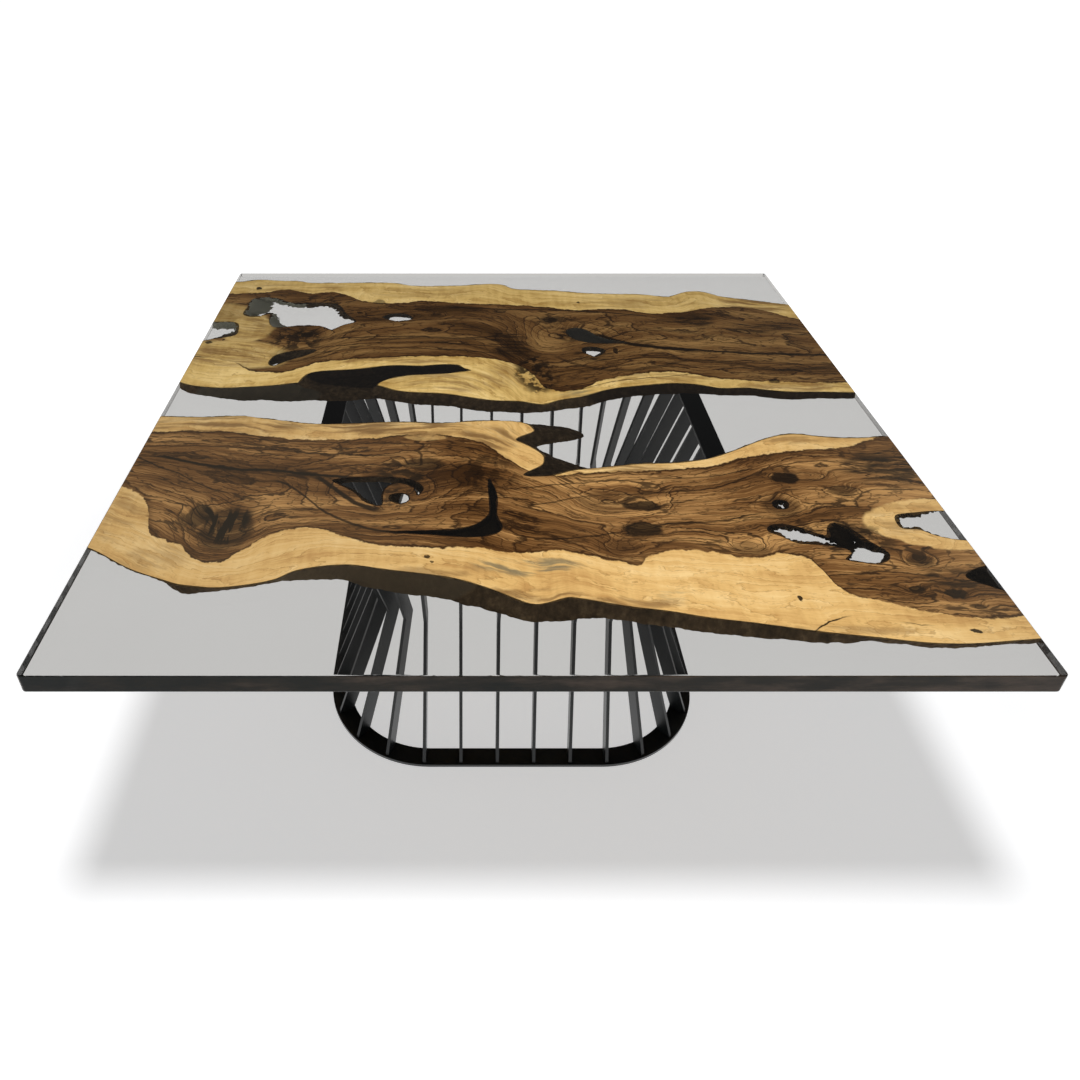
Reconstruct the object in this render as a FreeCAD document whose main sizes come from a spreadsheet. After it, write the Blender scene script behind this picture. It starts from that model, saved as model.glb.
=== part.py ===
import FreeCAD, Part
import math
import os

import Sketcher

# Square dining table: two live-edge slabs cast in clear resin, on flat ribs between two steel rings.
# Millimetres, +Z up, origin on the floor under the middle of the top, the front of the top towards -Y.

SIZES = (
    ("top_width", 1750),
    ("top_depth", 1750),
    ("top_thickness", 40),
    ("table_height", 760),
    ("top_corner_radius", 9),
    ("edge_ease", 3),
    ("notch_depth", 26),
    ("crack_depth", 20),
    ("ring_span", 980),
    ("ring_corner_radius", 275),
    ("ring_plate_width", 50),
    ("ring_plate_thickness", 8),
    ("top_ring_inset", 10),
    ("rib_width", 35),
    ("rib_thickness", 8),
    ("rib_count", 36),
    ("waist_height", 350),
    ("waist_inset", 127),
    ("screw_diameter", 8),
    ("screw_reach", 12),
    ("screw_head_diameter", 14),
    ("screw_head_height", 5),
    ("socket_circumradius", 2.9),
    ("socket_depth", 2.5),
    ("washer_diameter", 16),
    ("washer_thickness", 1.6),
    ("ring_hole_diameter", 9),
    ("insert_diameter", 12),
    ("insert_length", 14),
    ("thread_clearance", 0.2),
)

# Distance that a cutting solid runs past the face it cuts, as a share of the top's thickness.
OVERRUN_SHARE = 0.1

# The first rib stands this share of a rib pitch to the right of the front's middle.
FIRST_RIB_SHARE = 0.5

# A face counts as flat where its normal is upright by more than this share.
FLAT_FACE_SHARE = 0.5

# Screws stand midway between ribs on the straight sides, this many rib pitches from the middle.
SCREW_PITCH_SHARES = (-2, -1, 1, 2)

# Edge tables: across and deep on the top face, then across and deep on the underside,
# each as a share of the top's width from the left and of its depth from the front.
BACK_SLAB_BACK_SHARES = (
    (-0.030, 0.958, -0.030, 0.966),
    (0.020, 0.959, 0.020, 0.967),
    (0.045, 0.966, 0.047, 0.972),
    (0.080, 0.962, 0.080, 0.970),
    (0.119, 0.959, 0.119, 0.966),
    (0.140, 0.952, 0.140, 0.962),
    (0.171, 0.950, 0.171, 0.959),
    (0.200, 0.951, 0.200, 0.959),
    (0.260, 0.952, 0.260, 0.960),
    (0.298, 0.950, 0.298, 0.957),
    (0.327, 0.939, 0.327, 0.949),
    (0.374, 0.936, 0.374, 0.945),
    (0.435, 0.940, 0.435, 0.948),
    (0.470, 0.946, 0.470, 0.953),
    (0.500, 0.940, 0.502, 0.948),
    (0.512, 0.926, 0.514, 0.938),
    (0.560, 0.917, 0.560, 0.928),
    (0.600, 0.913, 0.600, 0.922),
    (0.630, 0.906, 0.630, 0.916),
    (0.673, 0.901, 0.673, 0.911),
    (0.719, 0.899, 0.719, 0.909),
    (0.760, 0.895, 0.760, 0.905),
    (0.792, 0.887, 0.792, 0.898),
    (0.812, 0.899, 0.812, 0.908),
    (0.840, 0.912, 0.840, 0.919),
    (0.866, 0.906, 0.866, 0.914),
    (0.886, 0.890, 0.886, 0.900),
    (0.920, 0.878, 0.920, 0.888),
    (0.959, 0.865, 0.959, 0.876),
    (1.000, 0.853, 1.000, 0.864),
    (1.030, 0.846, 1.030, 0.857),
)

BACK_SLAB_FRONT_SHARES = (
    (-0.030, 0.590, -0.030, 0.588),
    (0.000, 0.574, 0.000, 0.571),
    (0.020, 0.564, 0.020, 0.556),
    (0.040, 0.559, 0.040, 0.549),
    (0.070, 0.556, 0.075, 0.541),
    (0.100, 0.558, 0.101, 0.535),
    (0.140, 0.563, 0.140, 0.536),
    (0.165, 0.569, 0.164, 0.532),
    (0.200, 0.574, 0.200, 0.535),
    (0.250, 0.572, 0.245, 0.534),
    (0.285, 0.568, 0.288, 0.540),
    (0.305, 0.560, 0.310, 0.538),
    (0.327, 0.548, 0.330, 0.532),
    (0.360, 0.542, 0.360, 0.524),
    (0.400, 0.538, 0.400, 0.520),
    (0.435, 0.528, 0.430, 0.511),
    (0.455, 0.522, 0.455, 0.504),
    (0.478, 0.518, 0.482, 0.504),
    (0.509, 0.516, 0.508, 0.500),
    (0.539, 0.508, 0.541, 0.503),
    (0.560, 0.518, 0.560, 0.508),
    (0.600, 0.531, 0.602, 0.517),
    (0.634, 0.549, 0.636, 0.535),
    (0.673, 0.560, 0.673, 0.546),
    (0.700, 0.565, 0.700, 0.551),
    (0.740, 0.570, 0.740, 0.555),
    (0.780, 0.564, 0.780, 0.554),
    (0.806, 0.555, 0.808, 0.550),
    (0.842, 0.556, 0.839, 0.550),
    (0.875, 0.549, 0.877, 0.542),
    (0.912, 0.544, 0.914, 0.537),
    (0.940, 0.544, 0.940, 0.540),
    (1.000, 0.542, 1.000, 0.539),
    (1.030, 0.542, 1.030, 0.539),
)

FRONT_SLAB_BACK_SHARES = (
    (-0.030, 0.476, -0.030, 0.484),
    (0.020, 0.472, 0.020, 0.481),
    (0.067, 0.471, 0.067, 0.480),
    (0.119, 0.474, 0.119, 0.482),
    (0.140, 0.469, 0.140, 0.478),
    (0.179, 0.461, 0.179, 0.471),
    (0.212, 0.454, 0.212, 0.465),
    (0.260, 0.453, 0.260, 0.462),
    (0.340, 0.458, 0.340, 0.467),
    (0.387, 0.455, 0.387, 0.465),
    (0.440, 0.460, 0.440, 0.469),
    (0.485, 0.461, 0.487, 0.470),
    (0.511, 0.454, 0.525, 0.466),
    (0.520, 0.441, 0.566, 0.458),
    (0.519, 0.433, 0.588, 0.439),
    (0.502, 0.422, 0.565, 0.426),
    (0.496, 0.412, 0.537, 0.419),
    (0.507, 0.402, 0.523, 0.411),
    (0.528, 0.377, 0.541, 0.388),
    (0.529, 0.364, 0.561, 0.374),
    (0.522, 0.350, 0.579, 0.363),
    (0.501, 0.331, 0.590, 0.359),
    (0.535, 0.329, 0.602, 0.359),
    (0.560, 0.339, 0.616, 0.361),
    (0.595, 0.346, 0.634, 0.364),
    (0.652, 0.355, 0.662, 0.368),
    (0.695, 0.357, 0.697, 0.369),
    (0.736, 0.365, 0.736, 0.376),
    (0.769, 0.379, 0.769, 0.390),
    (0.825, 0.412, 0.825, 0.422),
    (0.847, 0.422, 0.847, 0.431),
    (0.875, 0.427, 0.875, 0.436),
    (0.903, 0.421, 0.903, 0.431),
    (0.953, 0.417, 0.953, 0.427),
    (1.000, 0.422, 1.000, 0.431),
    (1.030, 0.424, 1.030, 0.433),
)

FRONT_SLAB_FRONT_SHARES = (
    (-0.030, 0.207, -0.030, 0.216),
    (0.000, 0.190, 0.000, 0.199),
    (0.020, 0.179, 0.020, 0.188),
    (0.047, 0.161, 0.047, 0.172),
    (0.073, 0.147, 0.073, 0.158),
    (0.100, 0.136, 0.100, 0.145),
    (0.121, 0.128, 0.123, 0.128),
    (0.140, 0.125, 0.140, 0.128),
    (0.160, 0.123, 0.160, 0.131),
    (0.200, 0.129, 0.200, 0.140),
    (0.225, 0.138, 0.222, 0.147),
    (0.238, 0.148, 0.240, 0.148),
    (0.266, 0.157, 0.266, 0.149),
    (0.300, 0.160, 0.294, 0.148),
    (0.327, 0.155, 0.325, 0.137),
    (0.360, 0.149, 0.360, 0.128),
    (0.400, 0.142, 0.400, 0.121),
    (0.424, 0.135, 0.428, 0.111),
    (0.460, 0.118, 0.461, 0.099),
    (0.487, 0.102, 0.483, 0.089),
    (0.505, 0.098, 0.502, 0.085),
    (0.528, 0.106, 0.526, 0.087),
    (0.540, 0.108, 0.545, 0.089),
    (0.567, 0.102, 0.574, 0.091),
    (0.600, 0.094, 0.602, 0.085),
    (0.641, 0.087, 0.641, 0.077),
    (0.673, 0.079, 0.673, 0.071),
    (0.720, 0.071, 0.720, 0.063),
    (0.760, 0.063, 0.760, 0.059),
    (0.800, 0.056, 0.794, 0.055),
    (0.842, 0.050, 0.839, 0.057),
    (0.879, 0.044, 0.879, 0.051),
    (0.922, 0.042, 0.919, 0.048),
    (0.960, 0.045, 0.960, 0.052),
    (1.000, 0.049, 1.000, 0.054),
    (1.030, 0.051, 1.030, 0.056),
)

# Voids right through a slab, as closed outlines with the same four shares.
BACK_SLAB_VOID_SHARES = (
    (
        (0.055, 0.883, 0.082, 0.881),
        (0.078, 0.886, 0.090, 0.880),
        (0.098, 0.879, 0.102, 0.876),
        (0.112, 0.867, 0.114, 0.867),
        (0.140, 0.861, 0.140, 0.862),
        (0.190, 0.862, 0.188, 0.864),
        (0.211, 0.846, 0.205, 0.850),
        (0.224, 0.815, 0.216, 0.824),
        (0.243, 0.783, 0.240, 0.797),
        (0.221, 0.768, 0.221, 0.780),
        (0.205, 0.750, 0.205, 0.765),
        (0.190, 0.763, 0.190, 0.774),
        (0.140, 0.765, 0.140, 0.777),
        (0.108, 0.762, 0.114, 0.788),
        (0.094, 0.790, 0.102, 0.812),
        (0.090, 0.814, 0.094, 0.826),
        (0.070, 0.803, 0.074, 0.816),
        (0.046, 0.812, 0.062, 0.827),
        (0.046, 0.845, 0.080, 0.847),
    ),
    (
        (0.287, 0.805, 0.296, 0.812),
        (0.304, 0.817, 0.306, 0.821),
        (0.325, 0.815, 0.325, 0.819),
        (0.339, 0.797, 0.338, 0.811),
        (0.319, 0.785, 0.320, 0.800),
        (0.298, 0.791, 0.302, 0.804),
    ),
    (
        (-0.030, 0.783, -0.030, 0.784),
        (0.024, 0.784, 0.016, 0.773),
        (0.045, 0.775, 0.038, 0.772),
        (0.051, 0.749, 0.042, 0.764),
        (0.045, 0.728, 0.022, 0.744),
        (0.002, 0.712, 0.004, 0.730),
        (-0.030, 0.709, -0.030, 0.726),
    ),
    (
        (0.614, 0.680, 0.620, 0.690),
        (0.632, 0.690, 0.634, 0.692),
        (0.652, 0.678, 0.648, 0.687),
        (0.645, 0.664, 0.642, 0.679),
        (0.632, 0.654, 0.632, 0.670),
        (0.621, 0.664, 0.623, 0.679),
    ),
    (
        (0.125, 0.655, 0.126, 0.645),
        (0.160, 0.677, 0.134, 0.649),
        (0.191, 0.678, 0.141, 0.648),
        (0.172, 0.655, 0.144, 0.645),
        (0.150, 0.640, 0.140, 0.641),
        (0.132, 0.624, 0.133, 0.640),
        (0.122, 0.632, 0.126, 0.641),
    ),
)

FRONT_SLAB_VOID_SHARES = (
    (
        (0.777, 0.222, 0.784, 0.234),
        (0.788, 0.231, 0.792, 0.239),
        (0.815, 0.226, 0.820, 0.234),
        (0.840, 0.211, 0.844, 0.222),
        (0.847, 0.224, 0.858, 0.204),
        (0.859, 0.234, 0.868, 0.200),
        (0.878, 0.218, 0.878, 0.214),
        (0.889, 0.198, 0.886, 0.198),
        (0.901, 0.179, 0.904, 0.191),
        (0.892, 0.164, 0.893, 0.175),
        (0.872, 0.162, 0.873, 0.173),
        (0.849, 0.169, 0.852, 0.179),
        (0.859, 0.180, 0.861, 0.188),
        (0.838, 0.192, 0.839, 0.201),
        (0.803, 0.197, 0.804, 0.208),
        (0.787, 0.210, 0.790, 0.221),
    ),
    (
        (1.030, 0.255, 1.030, 0.266),
        (0.975, 0.256, 0.981, 0.267),
        (0.957, 0.253, 0.970, 0.260),
        (0.938, 0.249, 0.952, 0.259),
        (0.932, 0.237, 0.940, 0.249),
        (0.935, 0.223, 0.942, 0.235),
        (0.952, 0.221, 0.957, 0.232),
        (0.966, 0.211, 0.970, 0.222),
        (1.030, 0.209, 1.030, 0.219),
    ),
    (
        (0.264, 0.322, 0.268, 0.328),
        (0.300, 0.328, 0.300, 0.332),
        (0.332, 0.327, 0.332, 0.330),
        (0.357, 0.322, 0.356, 0.324),
        (0.372, 0.311, 0.369, 0.312),
        (0.376, 0.299, 0.372, 0.301),
        (0.369, 0.288, 0.366, 0.294),
        (0.365, 0.299, 0.362, 0.303),
        (0.357, 0.308, 0.356, 0.313),
        (0.344, 0.313, 0.344, 0.319),
        (0.332, 0.306, 0.332, 0.314),
        (0.327, 0.288, 0.327, 0.300),
        (0.326, 0.267, 0.327, 0.279),
        (0.304, 0.276, 0.306, 0.290),
        (0.285, 0.299, 0.287, 0.312),
    ),
    (
        (0.334, 0.283, 0.344, 0.295),
        (0.341, 0.292, 0.348, 0.306),
        (0.353, 0.292, 0.355, 0.306),
        (0.360, 0.283, 0.361, 0.297),
        (0.356, 0.273, 0.357, 0.286),
        (0.344, 0.271, 0.347, 0.284),
    ),
    (
        (0.797, 0.268, 0.804, 0.279),
        (0.805, 0.279, 0.810, 0.285),
        (0.817, 0.275, 0.820, 0.284),
        (0.814, 0.262, 0.820, 0.277),
        (0.803, 0.260, 0.808, 0.275),
    ),
)

# Hollows that stop inside the wood: the same shares, with the second pair on the hollow's floor.
BACK_SLAB_NOTCH_SHARES = (
    (0.174, 0.548, 0.184, 0.548),
    (0.180, 0.580, 0.190, 0.573),
    (0.194, 0.603, 0.205, 0.588),
    (0.250, 0.613, 0.250, 0.600),
    (0.294, 0.623, 0.296, 0.611),
    (0.327, 0.627, 0.327, 0.615),
    (0.359, 0.625, 0.359, 0.615),
    (0.385, 0.629, 0.383, 0.618),
    (0.419, 0.627, 0.408, 0.617),
    (0.427, 0.617, 0.414, 0.613),
    (0.437, 0.610, 0.418, 0.609),
    (0.420, 0.604, 0.408, 0.606),
    (0.400, 0.599, 0.392, 0.603),
    (0.359, 0.595, 0.355, 0.600),
    (0.327, 0.588, 0.322, 0.594),
    (0.302, 0.572, 0.294, 0.578),
    (0.297, 0.548, 0.288, 0.548),
    (0.285, 0.515, 0.275, 0.515),
    (0.192, 0.515, 0.200, 0.515),
)

BACK_SLAB_POCKET_SHARES = (
    (0.597, 0.752, 0.606, 0.744),
    (0.612, 0.760, 0.614, 0.750),
    (0.630, 0.752, 0.626, 0.744),
    (0.655, 0.722, 0.646, 0.720),
    (0.690, 0.704, 0.664, 0.710),
    (0.660, 0.700, 0.652, 0.706),
    (0.622, 0.706, 0.626, 0.714),
    (0.602, 0.722, 0.610, 0.727),
)

FRONT_SLAB_POCKET_SHARES = (
    (1.030, 0.163, 1.030, 0.157),
    (0.984, 0.153, 0.990, 0.152),
    (0.968, 0.140, 0.982, 0.146),
    (0.982, 0.127, 0.988, 0.136),
    (1.030, 0.116, 1.030, 0.128),
)

FRONT_SLAB_CRACK_SHARES = (
    (0.460, 0.318, 0.460, 0.314),
    (0.467, 0.272, 0.465, 0.272),
    (0.466, 0.246, 0.464, 0.246),
    (0.471, 0.226, 0.468, 0.227),
    (0.461, 0.212, 0.459, 0.215),
    (0.420, 0.207, 0.420, 0.210),
    (0.380, 0.212, 0.382, 0.214),
    (0.336, 0.217, 0.344, 0.217),
    (0.380, 0.220, 0.382, 0.218),
    (0.420, 0.224, 0.420, 0.221),
    (0.440, 0.232, 0.442, 0.229),
    (0.453, 0.247, 0.455, 0.245),
    (0.456, 0.272, 0.458, 0.272),
)

doc = FreeCAD.newDocument("SquareDiningTable")
sheet = doc.addObject("Spreadsheet::Sheet", "Sizes")
for row, (alias, value) in enumerate(SIZES, start=1):
    sheet.set("A%d" % row, alias)
    sheet.set("B%d" % row, str(value))
    sheet.setAlias("B%d" % row, alias)
doc.recompute()


def size(alias):
    return float(sheet.get(alias))


def origin_plane(body, role):
    for feature in body.Origin.OriginFeatures:
        if feature.Role == role:
            return feature


def new_sketch(body, name, role):
    sketch = body.newObject("Sketcher::SketchObject", name)
    sketch.AttachmentSupport = [(origin_plane(body, role), "")]
    sketch.MapMode = "FlatFace"
    return sketch


def bind(sketch, name, constraint, expression):
    index = sketch.addConstraint(constraint)
    sketch.renameConstraint(index, name)
    sketch.setExpression("Constraints." + name, expression)


def rounded_loop(sketch, prefix, width, depth, radius, expressions):
    """Closed loop with four equal corner arcs, centred on the sketch's origin."""
    first = sketch.GeometryCount
    half_x = width / 2
    half_y = depth / 2
    in_x = half_x - radius
    in_y = half_y - radius
    straights = (
        ((-in_x, -half_y), (in_x, -half_y)),
        ((half_x, -in_y), (half_x, in_y)),
        ((in_x, half_y), (-in_x, half_y)),
        ((-half_x, in_y), (-half_x, -in_y)),
    )
    centres = ((in_x, -in_y), (in_x, in_y), (-in_x, in_y), (-in_x, -in_y))
    normal = FreeCAD.Vector(0, 0, 1)
    quarter = math.pi / 2
    for turn, ((start, end), centre) in enumerate(zip(straights, centres)):
        line = Part.LineSegment(FreeCAD.Vector(*start, 0), FreeCAD.Vector(*end, 0))
        sketch.addGeometry(line, False)
        circle = Part.Circle(FreeCAD.Vector(*centre, 0), normal, radius)
        arc = Part.ArcOfCircle(circle, (turn - 1) * quarter, turn * quarter)
        sketch.addGeometry(arc, False)
    parts = range(first, first + 8)
    for index in parts:
        following = first + (index - first + 1) % 8
        sketch.addConstraint(Sketcher.Constraint("Tangent", index, 2, following, 1))
    front, right, back, left = parts[0::2]
    arcs = parts[1::2]
    for index in (front, back):
        sketch.addConstraint(Sketcher.Constraint("Horizontal", index))
    for index in (right, left):
        sketch.addConstraint(Sketcher.Constraint("Vertical", index))
    for index in arcs[1:]:
        sketch.addConstraint(Sketcher.Constraint("Equal", arcs[0], index))
    sketch.addConstraint(Sketcher.Constraint("Symmetric", arcs[0], 3, arcs[2], 3, -1, 1))
    across = Sketcher.Constraint("DistanceX", left, 1, right, 1, width)
    along = Sketcher.Constraint("DistanceY", front, 1, back, 1, depth)
    bend = Sketcher.Constraint("Radius", arcs[0], radius)
    names = (prefix + "_width", prefix + "_depth", prefix + "_radius")
    for name, constraint, expression in zip(names, (across, along, bend), expressions):
        bind(sketch, name, constraint, expression)


def pad(body, name, sketch, length):
    feature = body.newObject("PartDesign::Pad", name)
    feature.Profile = sketch
    feature.setExpression("Length", length)
    body.Tip = feature
    return feature


def share_point(across, deep, height):
    x = (across - 0.5) * size("top_width")
    y = (deep - 0.5) * size("top_depth")
    return FreeCAD.Vector(x, y, height)


def section_points(rows, top, floor, height):
    """Points of an outline at one height, on the straight line from its floor to its top."""
    share = (height - floor) / (top - floor)
    points = []
    for top_across, top_deep, low_across, low_deep in rows:
        across = low_across + (top_across - low_across) * share
        deep = low_deep + (top_deep - low_deep) * share
        points.append(share_point(across, deep, height))
    return points


def spacing(rows, closed):
    """Curve parameters by the mean step of the two outlines, so that both run in step."""
    ends = list(rows)
    if closed:
        ends.append(rows[0])
    steps = [0.0]
    for before, after in zip(ends, ends[1:]):
        upper = math.dist(before[:2], after[:2])
        lower = math.dist(before[2:], after[2:])
        steps.append(steps[-1] + math.sqrt((upper + lower) / 2))
    return steps


def spline_edge(points, steps, closed):
    curve = Part.BSplineCurve()
    curve.interpolate(Points=points, PeriodicFlag=closed, Parameters=steps)
    return curve.toShape()


def slab_log(back_rows, front_rows):
    """One plank before trimming: walls are ruled from its top outline to its underside outline."""
    top = size("table_height")
    floor = top - size("top_thickness")
    overrun = OVERRUN_SHARE * size("top_thickness")
    wires = []
    for height in (floor - overrun, top + overrun):
        back = section_points(back_rows, top, floor, height)
        front = section_points(front_rows, top, floor, height)
        edges = [
            spline_edge(front, spacing(front_rows, False), False),
            Part.makeLine(front[-1], back[-1]),
            spline_edge(back, spacing(back_rows, False), False),
            Part.makeLine(back[0], front[0]),
        ]
        wires.append(Part.Wire(Part.__sortEdges__(edges)))
    return Part.makeLoft(wires, True, True)


def hollow(rows, depth, through):
    """Solid to cut from a slab, from above its top face down to a floor or out of its underside."""
    top = size("table_height")
    floor = top - depth
    overrun = OVERRUN_SHARE * size("top_thickness")
    lowest = floor - overrun if through else floor
    wires = []
    for height in (lowest, top + overrun):
        points = section_points(rows, top, floor, height)
        wires.append(Part.Wire(spline_edge(points, spacing(rows, True), True)))
    return Part.makeLoft(wires, True, True)


def solid_feature(name, shape):
    feature = doc.addObject("Part::Feature", name)
    feature.Shape = shape
    return feature


def compound(name, members):
    group = doc.addObject("Part::Compound", name)
    group.Links = members
    return group


def cut(name, base, tool):
    feature = doc.addObject("Part::Cut", name)
    feature.Base = base
    feature.Tool = tool
    return feature


def cylinder(name, diameter, height, spot, base_height):
    feature = doc.addObject("Part::Cylinder", name)
    feature.setExpression("Radius", "(%s) / 2" % diameter)
    feature.setExpression("Height", height)
    feature.Placement.Base = FreeCAD.Vector(spot[0], spot[1], 0)
    feature.setExpression("Placement.Base.z", base_height)
    return feature


# Height expressions that several pieces share.
UNDERSIDE = "Sizes.table_height - Sizes.top_thickness"
TOP_RING_FLOOR = UNDERSIDE + " - Sizes.ring_plate_thickness"
WASHER_FLOOR = TOP_RING_FLOOR + " - Sizes.washer_thickness"
HEAD_FLOOR = WASHER_FLOOR + " - Sizes.screw_head_height"


def build_blank():
    body = doc.addObject("PartDesign::Body", "TopBlank")
    sketch = new_sketch(body, "TopOutline", "XY_Plane")
    expressions = ("Sizes.top_width", "Sizes.top_depth", "Sizes.top_corner_radius")
    rounded_loop(sketch, "top", size("top_width"), size("top_depth"), size("top_corner_radius"), expressions)
    block = pad(body, "TopPad", sketch, "Sizes.top_thickness")
    doc.recompute()
    flats = []
    for index, face in enumerate(block.Shape.Faces, start=1):
        if abs(face.normalAt(0, 0).z) > FLAT_FACE_SHARE:
            flats.append("Face%d" % index)
    ease = body.newObject("PartDesign::Fillet", "TopEase")
    ease.Base = (block, flats)
    ease.setExpression("Radius", "Sizes.edge_ease")
    body.Tip = ease
    body.setExpression("Placement.Base.z", UNDERSIDE)
    return body


def build_ring(name, inset, base_height):
    """Flat frame plate between two rounded squares that keep the same distance all round."""
    body = doc.addObject("PartDesign::Body", name)
    sketch = new_sketch(body, name + "Outline", "XY_Plane")
    plate = size("ring_plate_width")
    for prefix, step, step_text in (("outer", 0, "0"), ("inner", plate, "Sizes.ring_plate_width")):
        shift = size(inset) + step if inset else step
        shift_text = "(Sizes.%s + %s)" % (inset, step_text) if inset else "(%s)" % step_text
        span = size("ring_span") - 2 * shift
        radius = size("ring_corner_radius") - shift
        span_text = "Sizes.ring_span - 2 * " + shift_text
        radius_text = "Sizes.ring_corner_radius - " + shift_text
        rounded_loop(sketch, prefix, span, span, radius, (span_text, span_text, radius_text))
    pad(body, name + "Pad", sketch, "Sizes.ring_plate_thickness")
    if base_height:
        body.setExpression("Placement.Base.z", base_height)
    return body


def ring_centre_line():
    half_span = (size("ring_span") - size("ring_plate_width")) / 2
    radius = size("ring_corner_radius") - size("ring_plate_width") / 2
    half_straight = half_span - radius
    return half_span, radius, half_straight


def rib_pitch():
    half_span, radius, half_straight = ring_centre_line()
    length = 8 * half_straight + 2 * math.pi * radius
    return length / size("rib_count")


def ring_station(travel):
    """Spot on the bottom ring's centre line and the way inwards there, by travel from the front's middle."""
    half_span, radius, half_straight = ring_centre_line()
    quarter_length = 2 * half_straight + math.pi / 2 * radius
    turns = math.floor((travel + half_straight) / quarter_length)
    along = travel - turns * quarter_length
    if along <= half_straight:
        spot = FreeCAD.Vector(along, -half_span, 0)
        swing = 0.0
    else:
        swing = (along - half_straight) / radius
        centre = FreeCAD.Vector(half_straight, -half_straight, 0)
        spot = centre + FreeCAD.Vector(math.sin(swing), -math.cos(swing), 0) * radius
    heading = math.degrees(swing) + 90 * turns
    turned = FreeCAD.Rotation(FreeCAD.Vector(0, 0, 1), 90 * turns).multVec(spot)
    return turned, heading + 90


def rib_profile():
    """Corners of the kinked plate, across (inwards) and up, from the foot's outer corner round."""
    foot = FreeCAD.Vector(0, size("ring_plate_thickness"), 0)
    waist = FreeCAD.Vector(size("waist_inset"), size("waist_height"), 0)
    crown_height = size("table_height") - size("top_thickness") - size("ring_plate_thickness")
    crown = FreeCAD.Vector(size("top_ring_inset"), crown_height, 0)
    half_width = size("rib_width") / 2
    lower = (waist - foot).normalize()
    upper = (crown - waist).normalize()
    foot_reach = FreeCAD.Vector(half_width / lower.y, 0, 0)
    crown_reach = FreeCAD.Vector(half_width / upper.y, 0, 0)
    lower_side = FreeCAD.Vector(lower.y, -lower.x, 0)
    upper_side = FreeCAD.Vector(upper.y, -upper.x, 0)
    mitre = (lower_side + upper_side).normalize()
    waist_reach = mitre * (half_width / mitre.dot(lower_side))
    return (
        foot - foot_reach,
        foot + foot_reach,
        waist + waist_reach,
        crown + crown_reach,
        crown - crown_reach,
        waist - waist_reach,
    )


def build_rib(name, travel):
    body = doc.addObject("PartDesign::Body", name)
    sketch = new_sketch(body, name + "_outline", "XZ_Plane")
    corners = rib_profile()
    count = len(corners)
    for index, corner in enumerate(corners):
        sketch.addGeometry(Part.LineSegment(corner, corners[(index + 1) % count]), False)
    foot, inner_low, inner_high, crown, outer_high, outer_low = range(count)
    for index in range(count):
        sketch.addConstraint(Sketcher.Constraint("Coincident", index, 2, (index + 1) % count, 1))
    sketch.addConstraint(Sketcher.Constraint("Horizontal", crown))
    sketch.addConstraint(Sketcher.Constraint("Parallel", inner_low, outer_low))
    sketch.addConstraint(Sketcher.Constraint("Parallel", inner_high, outer_high))
    sketch.addConstraint(Sketcher.Constraint("Symmetric", foot, 1, foot, 2, -2))
    waist_middle = (corners[2] + corners[5]) / 2
    crown_middle = (corners[3] + corners[4]) / 2
    waist_point = sketch.addGeometry(Part.Point(waist_middle), True)
    crown_point = sketch.addGeometry(Part.Point(crown_middle), True)
    sketch.addConstraint(Sketcher.Constraint("Symmetric", inner_low, 2, outer_low, 1, waist_point, 1))
    sketch.addConstraint(Sketcher.Constraint("Symmetric", crown, 1, crown, 2, crown_point, 1))
    width = size("rib_width")
    floor = corners[0].y
    lower_width = Sketcher.Constraint("Distance", inner_low, 2, outer_low, width)
    bind(sketch, "lower_width", lower_width, "Sizes.rib_width")
    upper_width = Sketcher.Constraint("Distance", inner_high, 1, outer_high, width)
    bind(sketch, "upper_width", upper_width, "Sizes.rib_width")
    foot_level = Sketcher.Constraint("DistanceY", -1, 1, foot, 1, floor)
    bind(sketch, "foot_level", foot_level, "Sizes.ring_plate_thickness")
    waist_level = Sketcher.Constraint("DistanceY", -1, 1, waist_point, 1, waist_middle.y)
    bind(sketch, "waist_level", waist_level, "Sizes.waist_height")
    waist_inset = Sketcher.Constraint("DistanceX", -1, 1, waist_point, 1, waist_middle.x)
    bind(sketch, "waist_inset", waist_inset, "Sizes.waist_inset")
    crown_level = Sketcher.Constraint("DistanceY", -1, 1, crown_point, 1, crown_middle.y)
    bind(sketch, "crown_level", crown_level, TOP_RING_FLOOR)
    crown_inset = Sketcher.Constraint("DistanceX", -1, 1, crown_point, 1, crown_middle.x)
    bind(sketch, "crown_inset", crown_inset, "Sizes.top_ring_inset")
    plate = pad(body, name + "_pad", sketch, "Sizes.rib_thickness")
    plate.Midplane = True
    spot, heading = ring_station(travel)
    turn = FreeCAD.Rotation(FreeCAD.Vector(0, 0, 1), heading)
    body.Placement = FreeCAD.Placement(spot, turn)
    return body


def screw_spots():
    """Spots on the front and back straights of the top ring, front ones first."""
    half_span = ring_centre_line()[0] - size("top_ring_inset")
    spots = []
    for side in (-1, 1):
        for pitches in SCREW_PITCH_SHARES:
            spots.append((pitches * rib_pitch(), side * half_span))
    return spots


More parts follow.
